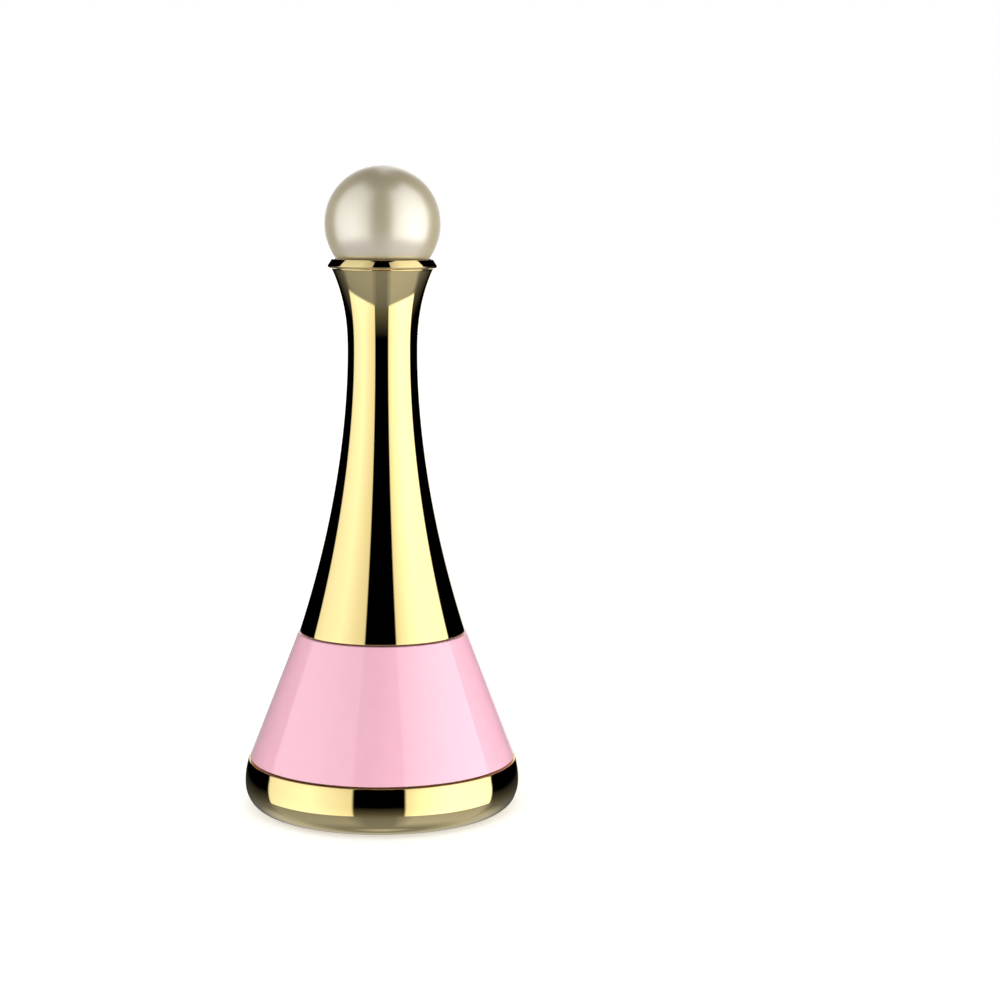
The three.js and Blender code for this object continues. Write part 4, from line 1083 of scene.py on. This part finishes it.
lathed("motor_can", "motor_case", steel, stairs(*MOTOR_CAN), 0.2, at=MOTOR_PLACE)
lathed("rubber_sleeve", "motor_sleeve", rubber, tube(*SLEEVE), 0.2, at=MOTOR_PLACE)
lathed("motor_cap", "motor_end_cap", black_plastic,
       tube(0, MOTOR_RADIUS, FRAME_FLOOR, MOTOR_FOOT), 0.2, at=MOTOR_PLACE)
lathed("ground_shaft", "motor_shaft", steel,
       tube(0, SHAFT_RADIUS, SHAFT_FOOT, SHAFT_TOP), 0.1, 32, MOTOR_PLACE, "motor_rotor")
sector = arc(WEIGHT_RADIUS, 10, 170, 20, MOTOR_PLACE)
sector += arc(WEIGHT_HUB, 180, 360, 20, MOTOR_PLACE)
weight = drawn_up("half_round_weight", sector, WEIGHT_FOOT, WEIGHT_TOP, 0.1)
cut(weight, pin("weight_bore", SHAFT_RADIUS + 0.1, WEIGHT_FOOT - 1, WEIGHT_TOP + 1, MOTOR_PLACE))
settle(weight, steel, "eccentric_weight", body="motor_rotor")

sheaths = {}
for colour, side, shades in (
    ("red", 1, ((0.40, 0.016, 0.016), (0.50, 0.026, 0.024))),
    ("black", -1, ((0.012, 0.012, 0.012), (0.022, 0.022, 0.022))),
):
    sheaths[colour] = grained(f"{colour}_wire", shades, (0.36, 0.5), 4.0, 0.003)
    flank = [(LEAD_RADIUS, height) for height in spaced(BOARD_TOP, FRAME_FLOOR, 16)]
    lead = turned(f"{colour}_lead", [(0, BOARD_TOP), *flank, (0, FRAME_FLOOR)], 32,
                  (MOTOR_PLACE[0], side * LEAD_OFFSET))
    for point in lead.data.vertices:
        rise = (point.co.z / MM - BOARD_TOP) / (FRAME_FLOOR - BOARD_TOP)
        point.co.y -= side * LEAD_BEND * MM * rise ** 2 * (3 - 2 * rise)
    settle(lead, sheaths[colour], f"motor_lead_{colour}")
lathed("ring_lead", "contact_ring_lead", sheaths["black"],
       tube(0, RING_LEAD_RADIUS, BOARD_TOP, SHOULDER_TOP), 0.1, 32, lead_place)


# Pink band
# A thin moulded cone in high-gloss pink lacquer between the foot and the handle, held by a lip
# on the frame's shoulder. A fine dark joint shows above and below it.
BAND_FOOT = 7.65
BAND_TOP = 26.8
BAND_FOOT_RADIUS = 20.25
BAND_TOP_RADIUS = 12.8
BAND_WALL = 0.9
BAND_BORE = 9.7
LIP_FOOT = BAND_TOP - 1
SLEEVE_BORE = 8.6
SLEEVE_FOOT = 27.15
CONTACT_RING_RADIUS = 9.4

pink, tree, surface = finish(
    "pink_gloss", (0.96, 0.50, 0.615), coat_weight=1.0, coat_roughness=0.02, coat_ior=1.65,
    sheen_weight=1.0, sheen_roughness=0.22)
flake = grain(tree, 0.5, detail=2.0)
tint(flake, (0.955, 0.492, 0.607), (0.965, 0.508, 0.623), surface["Base Color"])
vary(flake, 0.4, 0.5, surface["Roughness"])
bump(grain(tree, 0.5, detail=1.0), 0.00006, surface["Coat Normal"])

slope = (BAND_TOP_RADIUS - BAND_FOOT_RADIUS) / (BAND_TOP - BAND_FOOT)
lip_radius = BAND_TOP_RADIUS - slope - BAND_WALL
lathed("pink_cone", "pink_band", pink, [
    *stairs(BAND_FOOT_RADIUS - BAND_WALL, BAND_FOOT, BAND_FOOT_RADIUS),
    *stairs(BAND_TOP_RADIUS, BAND_TOP, BAND_BORE, LIP_FOOT, lip_radius),
], 0.15, 192)
lathed("neck_contact_ring", "contact_ring", brass,
       tube(SLEEVE_BORE, CONTACT_RING_RADIUS, SHOULDER_TOP, SLEEVE_FOOT), 0.1, 128)


# Gold handle
# A drawn shell plated in mirror gold, two flares that meet in a slim waist. It screws off the
# neck by a threaded brass sleeve bonded into its foot.
HANDLE = {
    "Foot Height": 27.05 * MM,
    "Waist Height": 69.53 * MM,
    "Top Height": 81.9 * MM,
    "Foot Radius": 12.6 * MM,
    "Waist Radius": 5.25 * MM,
    "Top Radius": 7.65 * MM,
    "Foot Flare": 1.86,
    "Top Flare": 2.36,
    "Wall": 0.8 * MM,
    "Sides": 192,
    "Rows": 110,
}
HANDLE_FIT = 1.1
SLEEVE_THREAD = {
    **THREAD,
    "Foot Height": 30.3 * MM,
    "Turns": 2.2,
    "Buried Radius": 8.9 * MM,
    "Root Radius": SLEEVE_BORE * MM,
    "Tip Radius": 7.9 * MM,
}

tree, given = new_tree("flared_shell", HANDLE)
pipe = flow(tree, "GeometryNodeMeshCylinder", {
    "Vertices": given["Sides"], "Side Segments": given["Rows"], "Radius": 1.0, "Depth": 1.0,
}, fill_type="NONE")
x, y, z = position(tree)
height = run(z, -0.5, 0.5, given["Foot Height"], given["Top Height"])
radius = given["Waist Radius"]
for end in ("Foot", "Top"):
    reach = given[f"{end} Height"] - given["Waist Height"]
    share = ((height - given["Waist Height"]) / reach).at_least(0.0) ** given[f"{end} Flare"]
    radius = radius + share * (given[f"{end} Radius"] - given["Waist Radius"])
outside = moved(pipe, xyz(tree, x * radius, y * radius, height))
x, y, z = position(tree)
outward = flow(tree, "ShaderNodeVectorMath", {0: xyz(tree, x, y)}, operation="NORMALIZE")
inside = flow(tree, "GeometryNodeExtrudeMesh", {
    "Mesh": outside, "Offset": outward, "Offset Scale": given["Wall"] * -1.0, "Individual": False,
}, mode="FACES")
inside = flow(tree, "GeometryNodeFlipFaces", {"Mesh": inside})
handle_tree = finish_tree(given, sewn(joined(outside, inside)))

formed(solid("gold_handle"), handle_tree, HANDLE, mirror_gold, "handle_shell", body="handle",
       edge=0.14)


def inside_handle(height):
    """The radius, in millimetres, of what fits in the handle at a height."""
    foot, waist, top, wide, slim, head = [
        HANDLE[f"{end} {size}"] / MM
        for size in ("Height", "Radius") for end in ("Foot", "Waist", "Top")]
    flare = (wide - slim) * (max(waist - height, 0) / (waist - foot)) ** HANDLE["Foot Flare"]
    flare += (head - slim) * (max(height - waist, 0) / (top - waist)) ** HANDLE["Top Flare"]
    return slim + flare - HANDLE_FIT


flank = [(inside_handle(height), height) for height in spaced(SLEEVE_FOOT, NECK_TOP, 8)]
sleeve = turned("threaded_sleeve", softened(
    [(SLEEVE_BORE, SLEEVE_FOOT), *flank, (SLEEVE_BORE, NECK_TOP)], 0.12), sides=128)
formed(sleeve, thread_tree, SLEEVE_THREAD, brass, "thread_sleeve", body="handle")


# Springs and switch
# A cone spring lets the cell's end reach the tail contact. Above it a black tube in the waist
# holds the latching switch with its plunger, and an ivory bush guides the button.
TAIL_FOOT = 61.1
TAIL_TOP = 62.1
SWITCH_RADIUS = 3.05
STEM_FOOT = 74.2
PLUNGER = (0, 1.1, 67.5, STEM_FOOT)  # inner and outer radius, foot, top
BUSH_FOOT = 76.2
BUSH_BORE = 1.9
BUSH_CUP = 2.94
SPRING_SEAT = 77.5
HANDLE_SEAT = 81.0
SWITCH_CAN = (0, TAIL_TOP, SWITCH_RADIUS, 71.5, 1.4, 66.75, 0)
CARRIER = (2.55, 59.5, 4.15, BUSH_FOOT, 3.35, TAIL_FOOT, 2.55)
SPRING = {
    "Foot Height": CELL_TOP * MM,
    "Top Height": TAIL_FOOT * MM,
    "Foot Radius": 3.6 * MM,
    "Top Radius": 2.0 * MM,
    "Wire": 0.6 * MM,
    "Turns": 5.0,
    "Closed Share": 0.2,
}
SPRING_GAP = 0.04 * MM
WIRE_END = 10000.0  # closes the wire's ends within the first hair of its length

tree, given = new_tree("coil_spring", SPRING)
strip, along, across = bent_sheet(tree, 241, 17)
wire = given["Wire"] * 0.5
low = given["Foot Height"] + wire + SPRING_GAP
high = given["Top Height"] - wire - SPRING_GAP
free_end = 1.0 - given["Closed Share"]
height = low
for start, end, climb in (
    (0.0, given["Closed Share"], given["Wire"]),
    (given["Closed Share"], free_end, high - low - given["Wire"] * 2.0),
    (free_end, 1.0, given["Wire"]),
):
    height = height + run(along, start, end, 0.0, climb)
coil = run(along, 0.0, 1.0, given["Foot Radius"], given["Top Radius"])
wire = wire * (along.at_most(1.0 - along) * WIRE_END).at_most(1.0)
section = across * tau
coiled = at_polar(
    strip, coil + wire * section.calc("COSINE"), along * given["Turns"] * tau,
    height + wire * section.calc("SINE"))
spring_tree = finish_tree(given, coiled)

formed(solid("cone_spring"), spring_tree, SPRING, steel, "contact_spring", body="spring_unit")

flank = [(inside_handle(height), height) for height in spaced(BUSH_FOOT, HANDLE_SEAT, 8)]
for name, stands_for, material, body, outline in (
    ("tail_disc", "tail_contact", brass, "handle", tube(0, SWITCH_RADIUS, TAIL_FOOT, TAIL_TOP)),
    ("carrier_tube", "switch_carrier", black_plastic, "handle", stairs(*CARRIER)),
    ("switch_can", "switch_body", black_plastic, "handle", stairs(*SWITCH_CAN)),
    ("plunger_rod", "switch_plunger", ivory, "plunger", tube(*PLUNGER)),
    ("stem_bush", "guide_bush", ivory, "handle",
     [(BUSH_BORE, BUSH_FOOT), *flank,
      (BUSH_CUP, HANDLE_SEAT), (BUSH_CUP, SPRING_SEAT), (BUSH_BORE, SPRING_SEAT)]),
):
    lathed(name, stands_for, material, outline, 0.15, 96, body=body)


# Collar
# A narrow bevelled ring in mirror gold, pressed into the handle's top and hollowed like a cup so
# that the pearl can sink into it.
COLLAR_FOOT = 81.9
COLLAR_TOP = 83.25
BEVELS = ((7.61, COLLAR_TOP), (8.25, 82.265), (8.13, 82.02), (7.89, COLLAR_FOOT))  # radius, height
CUP_FOOT = 81.8
SPIGOT_WALL = 0.56
PEARL_RADIUS = 8.66
PEARL_CENTRE = 88.466
PEARL_TRAVEL = 0.45
PEARL_GAP = 0.15

cup = [
    (sqrt(PEARL_RADIUS ** 2 - (PEARL_CENTRE - PEARL_TRAVEL - height) ** 2) + PEARL_GAP, height)
    for height in spaced(CUP_FOOT, COLLAR_TOP, 6)]
spigot = inside_handle(HANDLE_SEAT)
lathed("gold_collar", "collar_ring", mirror_gold, [
    *cup, *BEVELS, (inside_handle(COLLAR_FOOT), COLLAR_FOOT),
    *stairs(spigot, HANDLE_SEAT, spigot - SPIGOT_WALL, CUP_FOOT),
], 0.05, 192, body="handle")


# Button stem
# A turned steel stem carries the pearl down to the switch. A clip below the bush keeps it in,
# and a wire spring under its head brings it back.
STEM_RADIUS = 1.6
CLIP_FOOT = 75.2
CLIP_TOP = 76.0
CLIP_BORE = 1.4
CLIP_RADIUS = 2.65
CLIP_PLAY = 0.1
HEAD_FOOT = 81.8
PEARL_FLAT = 82.6
STEM = (
    0, STEM_FOOT, STEM_RADIUS, CLIP_FOOT, 1.2, CLIP_TOP, STEM_RADIUS, HEAD_FOOT, 4.5, PEARL_FLAT,
    STEM_RADIUS, 86.0, 0,
)
RETURN_SPRING = {
    **SPRING,
    "Foot Height": SPRING_SEAT * MM,
    "Top Height": HEAD_FOOT * MM,
    "Foot Radius": 2.42 * MM,
    "Top Radius": 2.42 * MM,
    "Wire": 0.44 * MM,
    "Turns": 4.0,
}
lathed("turned_stem", "button_stem", steel, stairs(*STEM), 0.12, body="button")
clip_outline = arc(CLIP_RADIUS, 45, 315, 40) + arc(CLIP_BORE, 315, 45, 40)
spring_clip = drawn_up(
    "spring_clip", clip_outline, CLIP_FOOT + CLIP_PLAY, CLIP_TOP - CLIP_PLAY, 0.1)
settle(spring_clip, steel, "stem_clip", body="button")

button_spring = solid("button_spring")
formed(button_spring, spring_tree, RETURN_SPRING, steel, "return_spring", body="handle")
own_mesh(button_spring)


# Pearl
# The push button: a ball in ivory pearl lacquer, cut flat underneath and bonded on the stem. The
# lustre is soft because light scatters in thin layers below a clear surface.
STEM_SOCKET = 86.3
SOCKET_BORE = 1.9

pearl = grained(
    "pearl", ((0.62, 0.525, 0.30), (0.58, 0.485, 0.27)), (0.3, 0.34), 1.2, 0.0008,
    clouds=0.15, detail=4.0, ior=3.0, specular_ior_level=1.0,
    coat_weight=0.3, coat_roughness=0.34, sheen_weight=1.0, sheen_roughness=0.3)

flat_angle = acos((PEARL_CENTRE - PEARL_FLAT) / PEARL_RADIUS)
ball = [(PEARL_RADIUS * sin(angle), PEARL_CENTRE - PEARL_RADIUS * cos(angle))
        for angle in spaced(flat_angle, pi, 72)[:-1]]
pearl_button = turned("pearl_button", [
    *stairs(0, STEM_SOCKET, SOCKET_BORE, PEARL_FLAT), *ball, (0, PEARL_CENTRE + PEARL_RADIUS),
], sides=144)
settle(pearl_button, pearl, "pearl_bead", body="button")


# Bounds
# The box round the pieces that are shown, without the floor and the tent.
low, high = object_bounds()
